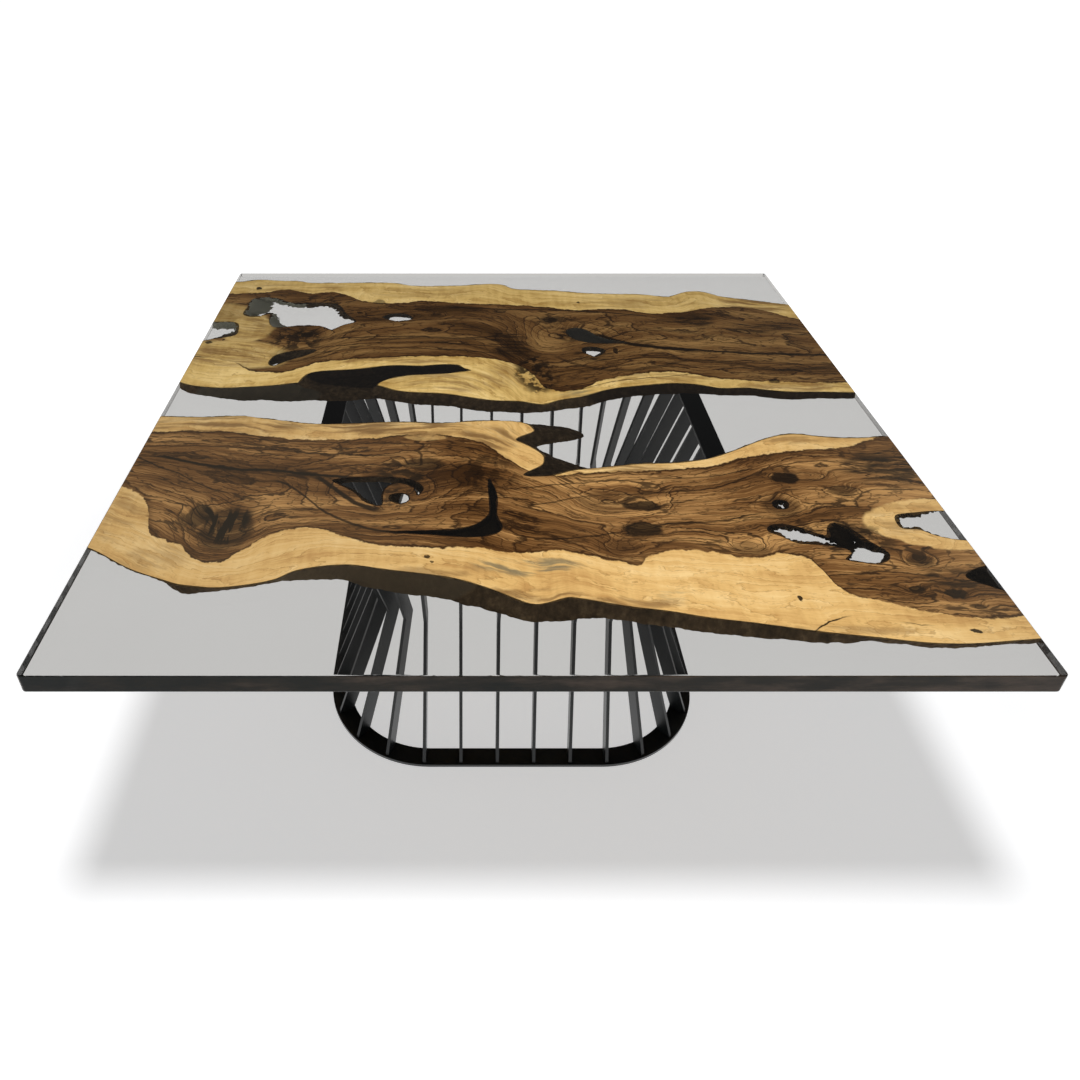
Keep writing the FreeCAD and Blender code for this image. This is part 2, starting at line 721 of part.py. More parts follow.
def build_screw(index, spot):
    shank_length = "Sizes.screw_reach + Sizes.ring_plate_thickness + Sizes.washer_thickness"
    head_size = "Sizes.screw_head_diameter"
    head = cylinder("ScrewHead%d" % index, head_size, "Sizes.screw_head_height", spot, HEAD_FLOOR)
    shank = cylinder("ScrewShank%d" % index, "Sizes.screw_diameter", shank_length, spot, WASHER_FLOOR)
    blank = doc.addObject("Part::Fuse", "ScrewBlank%d" % index)
    blank.Base = head
    blank.Tool = shank
    socket = doc.addObject("Part::Prism", "ScrewSocket%d" % index)
    socket.Polygon = 6
    socket.setExpression("Circumradius", "Sizes.socket_circumradius")
    socket.setExpression("Height", "Sizes.socket_depth")
    socket.Placement.Base = FreeCAD.Vector(spot[0], spot[1], 0)
    socket.setExpression("Placement.Base.z", HEAD_FLOOR)
    return cut("Screw%d" % index, blank, socket)


def build_tube(name, spot, outer, bore, height, base_height):
    body = cylinder(name + "Body", outer, height, spot, base_height)
    hole = cylinder(name + "Bore", bore, height, spot, base_height)
    return cut(name, body, hole)


def build_slab(name, log_shape, hollows, spots):
    log = solid_feature(name + "_log", log_shape)
    trimmed = doc.addObject("Part::Common", name + "_trimmed")
    trimmed.Base = blank
    trimmed.Tool = log
    tools = []
    for index, shape in enumerate(hollows, start=1):
        tools.append(solid_feature("%s_hollow_%d" % (name, index), shape))
    for index, spot in enumerate(spots, start=1):
        pocket = "%s_insert_pocket_%d" % (name, index)
        tools.append(cylinder(pocket, "Sizes.insert_diameter", "Sizes.insert_length", spot, UNDERSIDE))
    return cut(name, trimmed, compound(name + "_tools", tools))


blank = build_blank()
spots = screw_spots()
front_spots = spots[: len(SCREW_PITCH_SHARES)]
back_spots = spots[len(SCREW_PITCH_SHARES):]

thickness = size("top_thickness")
back_hollows = [hollow(rows, thickness, True) for rows in BACK_SLAB_VOID_SHARES]
back_hollows.append(hollow(BACK_SLAB_NOTCH_SHARES, size("notch_depth"), False))
back_hollows.append(hollow(BACK_SLAB_POCKET_SHARES, size("crack_depth"), False))
front_hollows = [hollow(rows, thickness, True) for rows in FRONT_SLAB_VOID_SHARES]
front_hollows.append(hollow(FRONT_SLAB_POCKET_SHARES, size("crack_depth"), False))
front_hollows.append(hollow(FRONT_SLAB_CRACK_SHARES, size("crack_depth"), False))

back_log = slab_log(BACK_SLAB_BACK_SHARES, BACK_SLAB_FRONT_SHARES)
front_log = slab_log(FRONT_SLAB_BACK_SHARES, FRONT_SLAB_FRONT_SHARES)
back_slab = build_slab("back_slab", back_log, back_hollows, back_spots)
front_slab = build_slab("front_slab", front_log, front_hollows, front_spots)

# The resin is what the two slabs leave of the blank, less the pockets that the inserts fill.
insert_pockets = []
for index, spot in enumerate(spots, start=1):
    insert_pockets.append(
        cylinder("resin_pocket_%d" % index, "Sizes.insert_diameter", "Sizes.insert_length", spot, UNDERSIDE)
    )
wood = compound("wood", [back_slab, front_slab] + insert_pockets)
resin = cut("resin", blank, wood)

bottom_ring = build_ring("bottom_ring", None, None)
top_ring_plate = build_ring("TopRingPlate", "top_ring_inset", TOP_RING_FLOOR)
ring_holes = []
screws = []
washers = []
inserts = []
clear_hole = "Sizes.screw_diameter + 2 * Sizes.thread_clearance"
insert_body = "Sizes.insert_diameter - 2 * Sizes.thread_clearance"
for index, spot in enumerate(spots, start=1):
    hole_size = "Sizes.ring_hole_diameter"
    ring_holes.append(
        cylinder("RingHole%d" % index, hole_size, "Sizes.ring_plate_thickness", spot, TOP_RING_FLOOR)
    )
    screws.append(build_screw(index, spot))
    washer_size = "Sizes.washer_diameter"
    washers.append(
        build_tube("Washer%d" % index, spot, washer_size, clear_hole, "Sizes.washer_thickness", WASHER_FLOOR)
    )
    inserts.append(
        build_tube("Insert%d" % index, spot, insert_body, clear_hole, "Sizes.insert_length", UNDERSIDE)
    )
top_ring = cut("top_ring", top_ring_plate, compound("RingHoles", ring_holes))
ring_screws = compound("ring_screws", screws)
ring_washers = compound("ring_washers", washers)
ring_inserts = compound("ring_inserts", inserts)

ribs = []
for number in range(int(size("rib_count"))):
    ribs.append(build_rib("rib_%02d" % (number + 1), (number + FIRST_RIB_SHARE) * rib_pitch()))
doc.recompute()

# The three long pieces of resin run the whole width; every smaller piece fills a void.
pieces = sorted(resin.Shape.Solids, key=lambda solid: -solid.Volume)
long_pieces = sorted(pieces[:3], key=lambda solid: solid.CenterOfMass.y)
resin_nodes = []
for name, piece in zip(("resin_front_strip", "resin_river", "resin_back_strip"), long_pieces):
    resin_nodes.append(solid_feature(name, piece))
resin_nodes.append(solid_feature("resin_void_fills", Part.makeCompound(pieces[3:])))
doc.recompute()

for item in doc.Objects:
    for state in ("Invalid", "Error"):
        if state in item.State:
            raise RuntimeError("%s is %s" % (item.Name, state))

nodes = [back_slab, front_slab, bottom_ring, top_ring, ring_screws, ring_washers, ring_inserts]
nodes = nodes + resin_nodes + ribs
os.makedirs("parts", exist_ok=True)
for node in nodes:
    shape = node.Shape
    if shape.isNull() or not shape.isValid():
        raise RuntimeError("%s has no valid shape" % node.Name)
    shape.exportStep("parts/%s.step" % node.Name)
    print(node.Name, len(shape.Solids), round(shape.Volume))
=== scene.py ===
import math

import bmesh
import bpy
import numpy
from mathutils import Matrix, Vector, noise
from mathutils.bvhtree import BVHTree
from mathutils.geometry import delaunay_2d_cdt


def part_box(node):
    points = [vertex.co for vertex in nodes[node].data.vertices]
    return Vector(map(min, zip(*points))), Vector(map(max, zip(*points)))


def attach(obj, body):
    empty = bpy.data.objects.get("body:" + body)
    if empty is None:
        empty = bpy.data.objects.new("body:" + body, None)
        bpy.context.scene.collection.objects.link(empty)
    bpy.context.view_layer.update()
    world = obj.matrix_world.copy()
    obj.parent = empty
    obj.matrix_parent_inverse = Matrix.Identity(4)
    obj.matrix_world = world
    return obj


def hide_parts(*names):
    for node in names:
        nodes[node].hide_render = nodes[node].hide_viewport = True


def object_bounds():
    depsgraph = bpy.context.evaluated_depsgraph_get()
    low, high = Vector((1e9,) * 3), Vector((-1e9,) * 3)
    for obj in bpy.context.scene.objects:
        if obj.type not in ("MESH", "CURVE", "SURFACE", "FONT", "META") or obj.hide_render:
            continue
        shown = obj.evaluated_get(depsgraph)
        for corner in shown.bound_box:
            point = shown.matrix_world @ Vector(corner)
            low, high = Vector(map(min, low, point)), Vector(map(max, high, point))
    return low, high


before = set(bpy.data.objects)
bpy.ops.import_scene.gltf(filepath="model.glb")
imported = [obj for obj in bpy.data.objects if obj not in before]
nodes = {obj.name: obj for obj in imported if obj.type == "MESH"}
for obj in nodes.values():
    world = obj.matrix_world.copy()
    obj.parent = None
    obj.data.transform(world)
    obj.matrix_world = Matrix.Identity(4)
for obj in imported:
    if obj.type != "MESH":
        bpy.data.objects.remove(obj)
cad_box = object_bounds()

LOW, HIGH = cad_box
WIDTH = HIGH.x - LOW.x
DEPTH = HIGH.y - LOW.y
SLAB_LOW, SLAB_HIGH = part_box("back_slab")
TOP_Z = SLAB_HIGH.z
UNDER_Z = SLAB_LOW.z
SLABS = ("back_slab", "front_slab")
WHITE = (1, 1, 1, 1)


def shade(hex_text):
    """Scene-linear colour of a display colour such as 7A5A38, by the sRGB curve."""
    channels = []
    for start in (0, 2, 4):
        value = int(hex_text[start:start + 2], 16) / 255
        channels.append(value / 12.92 if value <= 0.04045 else ((value + 0.055) / 1.055) ** 2.4)
    return (*channels, 1.0)


class Graph:
    """Shorthand for building a node tree: from math on, the methods return output sockets."""

    def __init__(self, owner):
        owner.use_nodes = True
        self.owner = owner
        self.tree = owner.node_tree
        self.tree.nodes.clear()

    def node(self, kind, **settings):
        made = self.tree.nodes.new(kind)
        for key, value in settings.items():
            setattr(made, key, value)
        return made

    def put(self, socket, value):
        """Link a socket's value, or set a plain one."""
        if isinstance(value, bpy.types.NodeSocket):
            self.tree.links.new(value, socket)
        elif value is not None:
            socket.default_value = value

    def fill(self, made, *values):
        """Put values into a node's inputs in their order."""
        for socket, value in zip(made.inputs, values):
            self.put(socket, value)
        return made

    def named(self, kind, **values):
        """A node with values in the inputs of these names."""
        made = self.node(kind)
        for key, value in values.items():
            self.put(made.inputs[key.replace("_", " ")], value)
        return made

    def finish(self, shader, kind="ShaderNodeOutputMaterial"):
        self.named(kind, Surface=shader)
        return self.owner

    def math(self, operation, *values):
        return self.fill(self.node("ShaderNodeMath", operation=operation), *values).outputs[0]

    def fold(self, operation, values):
        result = values[0]
        for value in values[1:]:
            result = self.math(operation, result, value)
        return result

    def add(self, *values):
        return self.fold("ADD", values)

    def largest(self, *values):
        return self.fold("MAXIMUM", values)

    def sub(self, first, second):
        return self.math("SUBTRACT", first, second)

    def mul(self, first, second):
        return self.math("MULTIPLY", first, second)

    def scaled(self, value, factor, offset):
        return self.math("MULTIPLY_ADD", value, factor, offset)

    def absolute(self, value):
        return self.math("ABSOLUTE", value)

    def eased(self, value, low, high, start, stop):
        made = self.named(
            "ShaderNodeMapRange", Value=value, From_Min=low, From_Max=high, To_Min=start, To_Max=stop)
        made.interpolation_type = "SMOOTHSTEP"
        return made.outputs["Result"]

    def smooth(self, value, low, high, most=1.0):
        """0 below low, most above high, eased between; low may be the larger one."""
        if low > high:
            return self.eased(value, high, low, most, 0.0)
        return self.eased(value, low, high, 0.0, most)

    def mix(self, factor, first, second):
        made = self.node("ShaderNodeMix", data_type="FLOAT")
        return self.fill(made, factor, None, first, second).outputs[0]

    def tint(self, factor, first, second, blend="MIX"):
        made = self.node("ShaderNodeMix", data_type="RGBA", blend_type=blend)
        return self.fill(made, factor, None, None, None, None, None, first, second).outputs[2]

    def combine(self, x, y, z=0.0):
        return self.fill(self.node("ShaderNodeCombineXYZ"), x, y, z).outputs[0]

    def split(self, vector):
        return self.fill(self.node("ShaderNodeSeparateXYZ"), vector).outputs

    def stretched(self, vector, *rates):
        return self.fill(self.node("ShaderNodeVectorMath", operation="MULTIPLY"), vector, rates).outputs[0]

    def position(self):
        """Metres in the shared frame, because every piece's vertices are in it."""
        return self.node("ShaderNodeTexCoord").outputs["Object"]

    def ray(self, kind):
        return self.node("ShaderNodeLightPath").outputs[f"Is {kind} Ray"]

    def seen_in_gloss(self):
        """One for rays that come by way of a reflection or through the resin."""
        return self.largest(self.ray("Glossy"), self.ray("Transmission"))

    def noise(self, vector, scale=1.0, detail=3.0, roughness=0.55):
        made = self.named(
            "ShaderNodeTexNoise", Vector=vector, Scale=scale, Detail=detail, Roughness=roughness)
        return made.outputs["Fac"]

    def curve(self, value, table):
        made = self.named("ShaderNodeFloatCurve", Value=value)
        line = made.mapping.curves[0]
        line.points[0].location = table[0]
        line.points[1].location = table[-1]
        for spot in table[1:-1]:
            line.points.new(*spot)
        made.mapping.update()
        return made.outputs[0]

    def ramp(self, value, *stops):
        made = self.fill(self.node("ShaderNodeValToRGB"), value)
        band = made.color_ramp
        while len(band.elements) < len(stops):
            band.elements.new(0.5)
        for element, (place, colour) in zip(band.elements, stops):
            element.position = place
            element.color = shade(colour)
        return made.outputs["Color"]

    def bump(self, height, strength, distance):
        return self.named("ShaderNodeBump", Strength=strength, Distance=distance, Height=height).outputs[0]

    def principled(self, **values):
        return self.named("ShaderNodeBsdfPrincipled", **values).outputs[0]

    def transparent(self, colour):
        return self.named("ShaderNodeBsdfTransparent", Color=shade(colour)).outputs[0]

    def glow(self, strength):
        return self.named("ShaderNodeEmission", Color=WHITE, Strength=strength).outputs[0]

    def blend(self, factor, first, second):
        return self.fill(self.node("ShaderNodeMixShader"), factor, first, second).outputs[0]


def new_graph(name):
    return Graph(bpy.data.materials.new(name))


def steel_material():
    g = new_graph("black_steel")
    place = g.position()
    cloud = g.noise(place, scale=9.0, detail=4.0)
    grain = g.noise(place, scale=900.0, detail=2.0)
    return g.finish(g.principled(
        Base_Color=g.ramp(cloud, (0.3, "131617"), (0.7, "24282A")),
        Roughness=g.mix(cloud, 0.34, 0.48), Metallic=0.0, Specular_IOR_Level=0.5,
        Normal=g.bump(grain, strength=0.06, distance=0.0004)))


def plain_metal(name, dark, light):
    g = new_graph(name)
    cloud = g.noise(g.position(), scale=400.0)
    colour = g.ramp(cloud, (0.3, dark), (0.7, light))
    return g.finish(g.principled(Base_Color=colour, Roughness=0.35, Metallic=1.0))


# Resin: how near its outer sides the skin of painted dark reflection begins and is full, how much it covers,
# and its drift across.
SKIN_START = 0.0008
SKIN_FULL = 0.0003
SKIN_COVER = 0.9
SKIN_DRIFT = 0.14


def resin_material():
    """Clear cast resin; its outer sides are painted with a dark, mottled reflection.

    Seen from inside, its back and the far parts of its ends are clear panes. Soft light passes it, and
    lamps cast its whole shadow.
    """
    g = new_graph("clear_resin")
    place = g.position()
    x, y, _ = g.split(place)
    cloud = g.noise(place, scale=2.5)
    deep = g.smooth(y, -DEPTH / 2, DEPTH / 2)
    near = g.ramp(cloud, (0.3, "C8C7C5"), (0.7, "CAC9C7"))
    far = g.ramp(cloud, (0.3, "D8D7D5"), (0.7, "DAD9D7"))
    clear = g.principled(
        Base_Color=g.tint(deep, near, far), Roughness=0.0, IOR=1.5, Transmission_Weight=1.0)
    # The outer sides get a painted dark, mottled reflection, lighter towards the right.
    reflection_mottle = g.noise(g.stretched(place, 7.0, 7.0, 30.0), detail=4.0, roughness=0.6)
    side = g.ramp(
        g.add(reflection_mottle, g.mul(x, SKIN_DRIFT)), (0.34, "1E2221"), (0.5, "302D28"), (0.68, "574B42"))
    painted_reflection = g.principled(Base_Color=side, Roughness=0.3, Specular_IOR_Level=0.1)
    ends = g.smooth(g.absolute(x), WIDTH / 2 - SKIN_START, WIDTH / 2 - SKIN_FULL)
    front = g.smooth(y, SKIN_START - DEPTH / 2, SKIN_FULL - DEPTH / 2)
    back = g.smooth(y, DEPTH / 2 - SKIN_START, DEPTH / 2 - SKIN_FULL)
    body = g.blend(g.mul(g.largest(ends, front, back), SKIN_COVER), clear, painted_reflection)
    inside = g.node("ShaderNodeNewGeometry").outputs["Backfacing"]
    pane = g.mul(g.largest(back, g.mul(ends, deep)), inside)
    body = g.blend(pane, body, g.transparent("E2E1DF"))
    body = g.blend(g.ray("Diffuse"), body, g.transparent("E8E7E5"))
    return g.finish(g.blend(g.ray("Shadow"), body, g.transparent("404040")))


# Wood figure, in shares of the top: across from the left, deep from the front.
# Lines are pairs of across and deep; the light and grey lines are pairs of across and strength, for painted
# light and shade across the top and a painted grey haze of reflection.
# Ovals are across, deep, half width, half depth, and then:
# - sap_oval: strength, and where its middle begins
# - knot: rings and darkness
# - tone: lightness
# - patch: streaks per share across and deep, and darkness
# - stain and brown: strength
# - wall: the walls' colour there, partly their own and partly painted shade and light: very dark in the notch
#   and hollows, lighter on some void walls
# - jag: how much more ragged the walls are there
# Streaks are half depth, from, to, darkness, and then a line.
FRONT_FIGURE = {
    "heart_shades": ("3E2610", "78522C", "C6965B"),
    "sap_shades": ("C6985A", "E4B974", "F3CE8E"),
    "painted_light_shares": ((0, 0.8), (0.2, 0.84), (0.4, 0.9), (0.55, 1.0), (1, 1.0)),
    "painted_haze_shares": ((0, 0.1), (0.3, 0.07), (0.45, 0.0), (0.6, 0.02), (0.88, 0.03), (0.95, 0.08), (1, 0.11)),
    "low_shares": (
        (0, 0.19), (0.05, 0.165), (0.1, 0.136), (0.16, 0.123), (0.21, 0.137), (0.24, 0.148), (0.3, 0.16),
        (0.36, 0.155), (0.42, 0.137), (0.47, 0.106), (0.5, 0.098), (0.54, 0.108), (0.6, 0.094),
        (0.66, 0.082), (0.72, 0.071), (0.78, 0.058), (0.84, 0.05), (0.92, 0.046), (1, 0.049)),
    "high_shares": (
        (0, 0.475), (0.12, 0.474), (0.21, 0.455), (0.34, 0.458), (0.46, 0.455), (0.52, 0.4),
        (0.58, 0.35), (0.65, 0.355), (0.736, 0.365), (0.825, 0.412), (0.875, 0.427), (1, 0.422)),
    "sap_below_shares": (
        (0, 0.305), (0.03, 0.29), (0.05, 0.255), (0.067, 0.21), (0.101, 0.197), (0.127, 0.171),
        (0.15, 0.163), (0.18, 0.188), (0.21, 0.216), (0.249, 0.225), (0.3, 0.203), (0.36, 0.19),
        (0.43, 0.189), (0.49, 0.179), (0.53, 0.183), (0.593, 0.166), (0.617, 0.159), (0.634, 0.175),
        (0.7, 0.184), (0.74, 0.171), (0.788, 0.177), (0.81, 0.168), (0.82, 0.14), (0.83, 0.115),
        (0.862, 0.102), (0.91, 0.085), (0.96, 0.077), (1, 0.082)),
    "sap_above_shares": (
        (0, 0.432), (0.1, 0.434), (0.16, 0.421), (0.24, 0.412), (0.3, 0.417), (0.4, 0.425),
        (0.45, 0.405), (0.485, 0.365), (0.52, 0.335), (0.6, 0.337), (0.68, 0.342), (0.74, 0.35),
        (0.8, 0.372), (0.86, 0.387), (0.92, 0.392), (0.96, 0.408), (1, 0.425)),
    "sap_oval_shares": ((1.0, 0.232, 0.112, 0.05, 1.0, 0.86), (0.378, 0.422, 0.034, 0.012, 0.6, 0.6)),
    "knot_shares": (
        (0.15, 0.222, 0.04, 0.05, 1.0, 0.62), (0.112, 0.246, 0.02, 0.024, 0.3, 0.75),
        (0.318, 0.29, 0.115, 0.064, 1.6, 0.0), (0.375, 0.356, 0.034, 0.016, 0.4, 0.75),
        (0.633, 0.221, 0.03, 0.017, 0.5, 0.9), (0.829, 0.324, 0.022, 0.014, 0.4, 0.95),
        (0.64, 0.266, 0.032, 0.012, 0.3, 0.9), (0.806, 0.266, 0.03, 0.024, 0.6, 0.5),
        (0.893, 0.298, 0.022, 0.014, 0.5, 0.6), (0.905, 0.12, 0.013, 0.007, 0.3, 0.85),
        (0.945, 0.113, 0.014, 0.009, 0.3, 0.9), (0.6, 0.275, 0.045, 0.03, 0.7, 0.3),
        (0.656, 0.298, 0.022, 0.015, 0.5, 0.0), (0.605, 0.19, 0.024, 0.018, 0.6, 0.25),
        (0.748, 0.186, 0.026, 0.016, 0.5, 0.4), (0.866, 0.328, 0.026, 0.012, 0.5, 0.0),
        (0.93, 0.166, 0.02, 0.012, 0.4, 0.6), (0.958, 0.094, 0.01, 0.006, 0.2, 0.7),
        (0.778, 0.104, 0.0035, 0.004, 0.0, 0.95), (0.94, 0.059, 0.005, 0.004, 0.0, 0.95),
        (0.385, 0.174, 0.005, 0.004, 0.0, 0.9), (0.392, 0.166, 0.003, 0.003, 0.0, 0.8)),
    "tone_shares": (
        (0.17, 0.345, 0.14, 0.06, -0.16), (0.4, 0.25, 0.06, 0.045, -0.05),
        (0.34, 0.228, 0.08, 0.018, -0.08), (0.58, 0.318, 0.1, 0.012, 0.25),
        (0.185, 0.292, 0.035, 0.015, 0.22), (0.7, 0.28, 0.13, 0.07, 0.16),
        (0.88, 0.36, 0.05, 0.02, 0.25), (0.84, 0.255, 0.05, 0.03, -0.2), (0.5, 0.2, 0.08, 0.02, -0.1),
        (0.43, 0.335, 0.05, 0.03, -0.4), (0.91, 0.145, 0.08, 0.04, -0.05),
        (0.15, 0.215, 0.05, 0.05, -0.35)),
    "patch_shares": (
        (0.15, 0.226, 0.032, 0.046, 80, 11, 1.0), (0.12, 0.235, 0.035, 0.03, 60, 60, 0.6),
        (0.975, 0.362, 0.055, 0.04, 14, 110, 0.95), (0.96, 0.345, 0.06, 0.045, 16, 80, 0.75),
        (0.455, 0.335, 0.045, 0.055, 60, 40, 0.6), (0.35, 0.33, 0.045, 0.03, 40, 70, 0.8),
        (0.346, 0.285, 0.026, 0.03, 130, 130, 0.6), (0.87, 0.205, 0.05, 0.04, 50, 60, 0.7),
        (0.96, 0.135, 0.04, 0.02, 25, 90, 0.7)),
    "stain_shares": ((0.5, 0.16, 0.075, 0.018, 0.75), (0.655, 0.113, 0.03, 0.01, 0.4)),
    "wall_colour_and_shade_shares": (
        (0.465, 0.25, 0.14, 0.07, "1E160D"), (1.0, 0.14, 0.05, 0.03, "32302D"),
        (0.86, 0.22, 0.05, 0.04, "2C2116"), (0.33, 0.135, 0.12, 0.03, "837258")),
    "brown_shares": (
        (0.1, 0.45, 0.14, 0.028, 0.8), (0.33, 0.442, 0.14, 0.024, 0.85), (0.61, 0.345, 0.1, 0.018, 0.8),
        (0.46, 0.415, 0.05, 0.04, 0.85), (0.48, 0.112, 0.09, 0.014, 0.8), (0.6, 0.1, 0.07, 0.01, 0.7),
        (0.86, 0.415, 0.06, 0.016, 0.5), (0.02, 0.25, 0.03, 0.06, 0.4),
        (0.065, 0.245, 0.024, 0.026, 0.9), (0.08, 0.17, 0.05, 0.03, 0.35),
        (0.95, 0.235, 0.06, 0.045, 0.5), (0.8, 0.06, 0.1, 0.01, 0.5), (0.4, 0.15, 0.07, 0.012, 0.5)),
    "jag_shares": ((0.84, 0.235, 0.09, 0.055, 1.2), (1.0, 0.25, 0.1, 0.035, 0.8)),
    "streak_shares": (
        (0.004, 0.03, 0.285, 0.97, ((0, 0.384), (0.038, 0.371), (0.1, 0.352), (0.135, 0.344),
            (0.171, 0.343), (0.228, 0.334), (0.285, 0.325), (1, 0.325))),
        (0.0018, -0.02, 0.14, 0.8, ((0, 0.372), (0.035, 0.35), (0.07, 0.332), (0.1, 0.309),
            (0.14, 0.292), (1, 0.292))),
        (0.0018, -0.02, 0.34, 0.7, ((0, 0.397), (0.07, 0.398), (0.16, 0.391), (0.23, 0.381),
            (0.34, 0.375), (1, 0.375))),
        (0.0018, 0.02, 0.4, 0.6, ((0, 0.418), (0.1, 0.42), (0.2, 0.409), (0.3, 0.405), (0.4, 0.402),
            (1, 0.4))),
        (0.007, 0.235, 0.325, 0.95, ((0, 0.332), (0.235, 0.33), (0.258, 0.31), (0.28, 0.286),
            (0.305, 0.266), (0.335, 0.258), (1, 0.258))),
        (0.003, 0.19, 0.36, 0.85, ((0, 0.32), (0.19, 0.318), (0.23, 0.288), (0.26, 0.255),
            (0.295, 0.232), (0.33, 0.219), (0.36, 0.214), (1, 0.21))),
        (0.0018, 0.49, 0.8, 0.7, ((0, 0.3), (0.49, 0.303), (0.56, 0.313), (0.66, 0.322), (0.74, 0.328),
            (0.8, 0.345), (1, 0.35))),
        (0.0018, 0.5, 0.82, 0.7, ((0, 0.26), (0.5, 0.268), (0.58, 0.286), (0.66, 0.292), (0.74, 0.305),
            (0.82, 0.345), (1, 0.35))),
        (0.002, 0.52, 0.78, 0.7, ((0, 0.2), (0.52, 0.203), (0.6, 0.214), (0.66, 0.232), (0.72, 0.236),
            (0.78, 0.252), (1, 0.26))),
        (0.0014, 0.775, 0.815, 0.95, ((0, 0.058), (0.775, 0.058), (0.787, 0.066), (0.815, 0.079),
            (1, 0.08))),
        (0.011, 0.108, 0.142, 1.0, ((0, 0.264), (0.108, 0.264), (0.12, 0.258), (0.13, 0.243),
            (0.137, 0.222), (0.141, 0.2), (0.145, 0.19), (1, 0.19))),
        (0.0012, 0.875, 0.895, 0.7, ((0, 0.07), (0.875, 0.07), (0.895, 0.067), (1, 0.067)))),
}
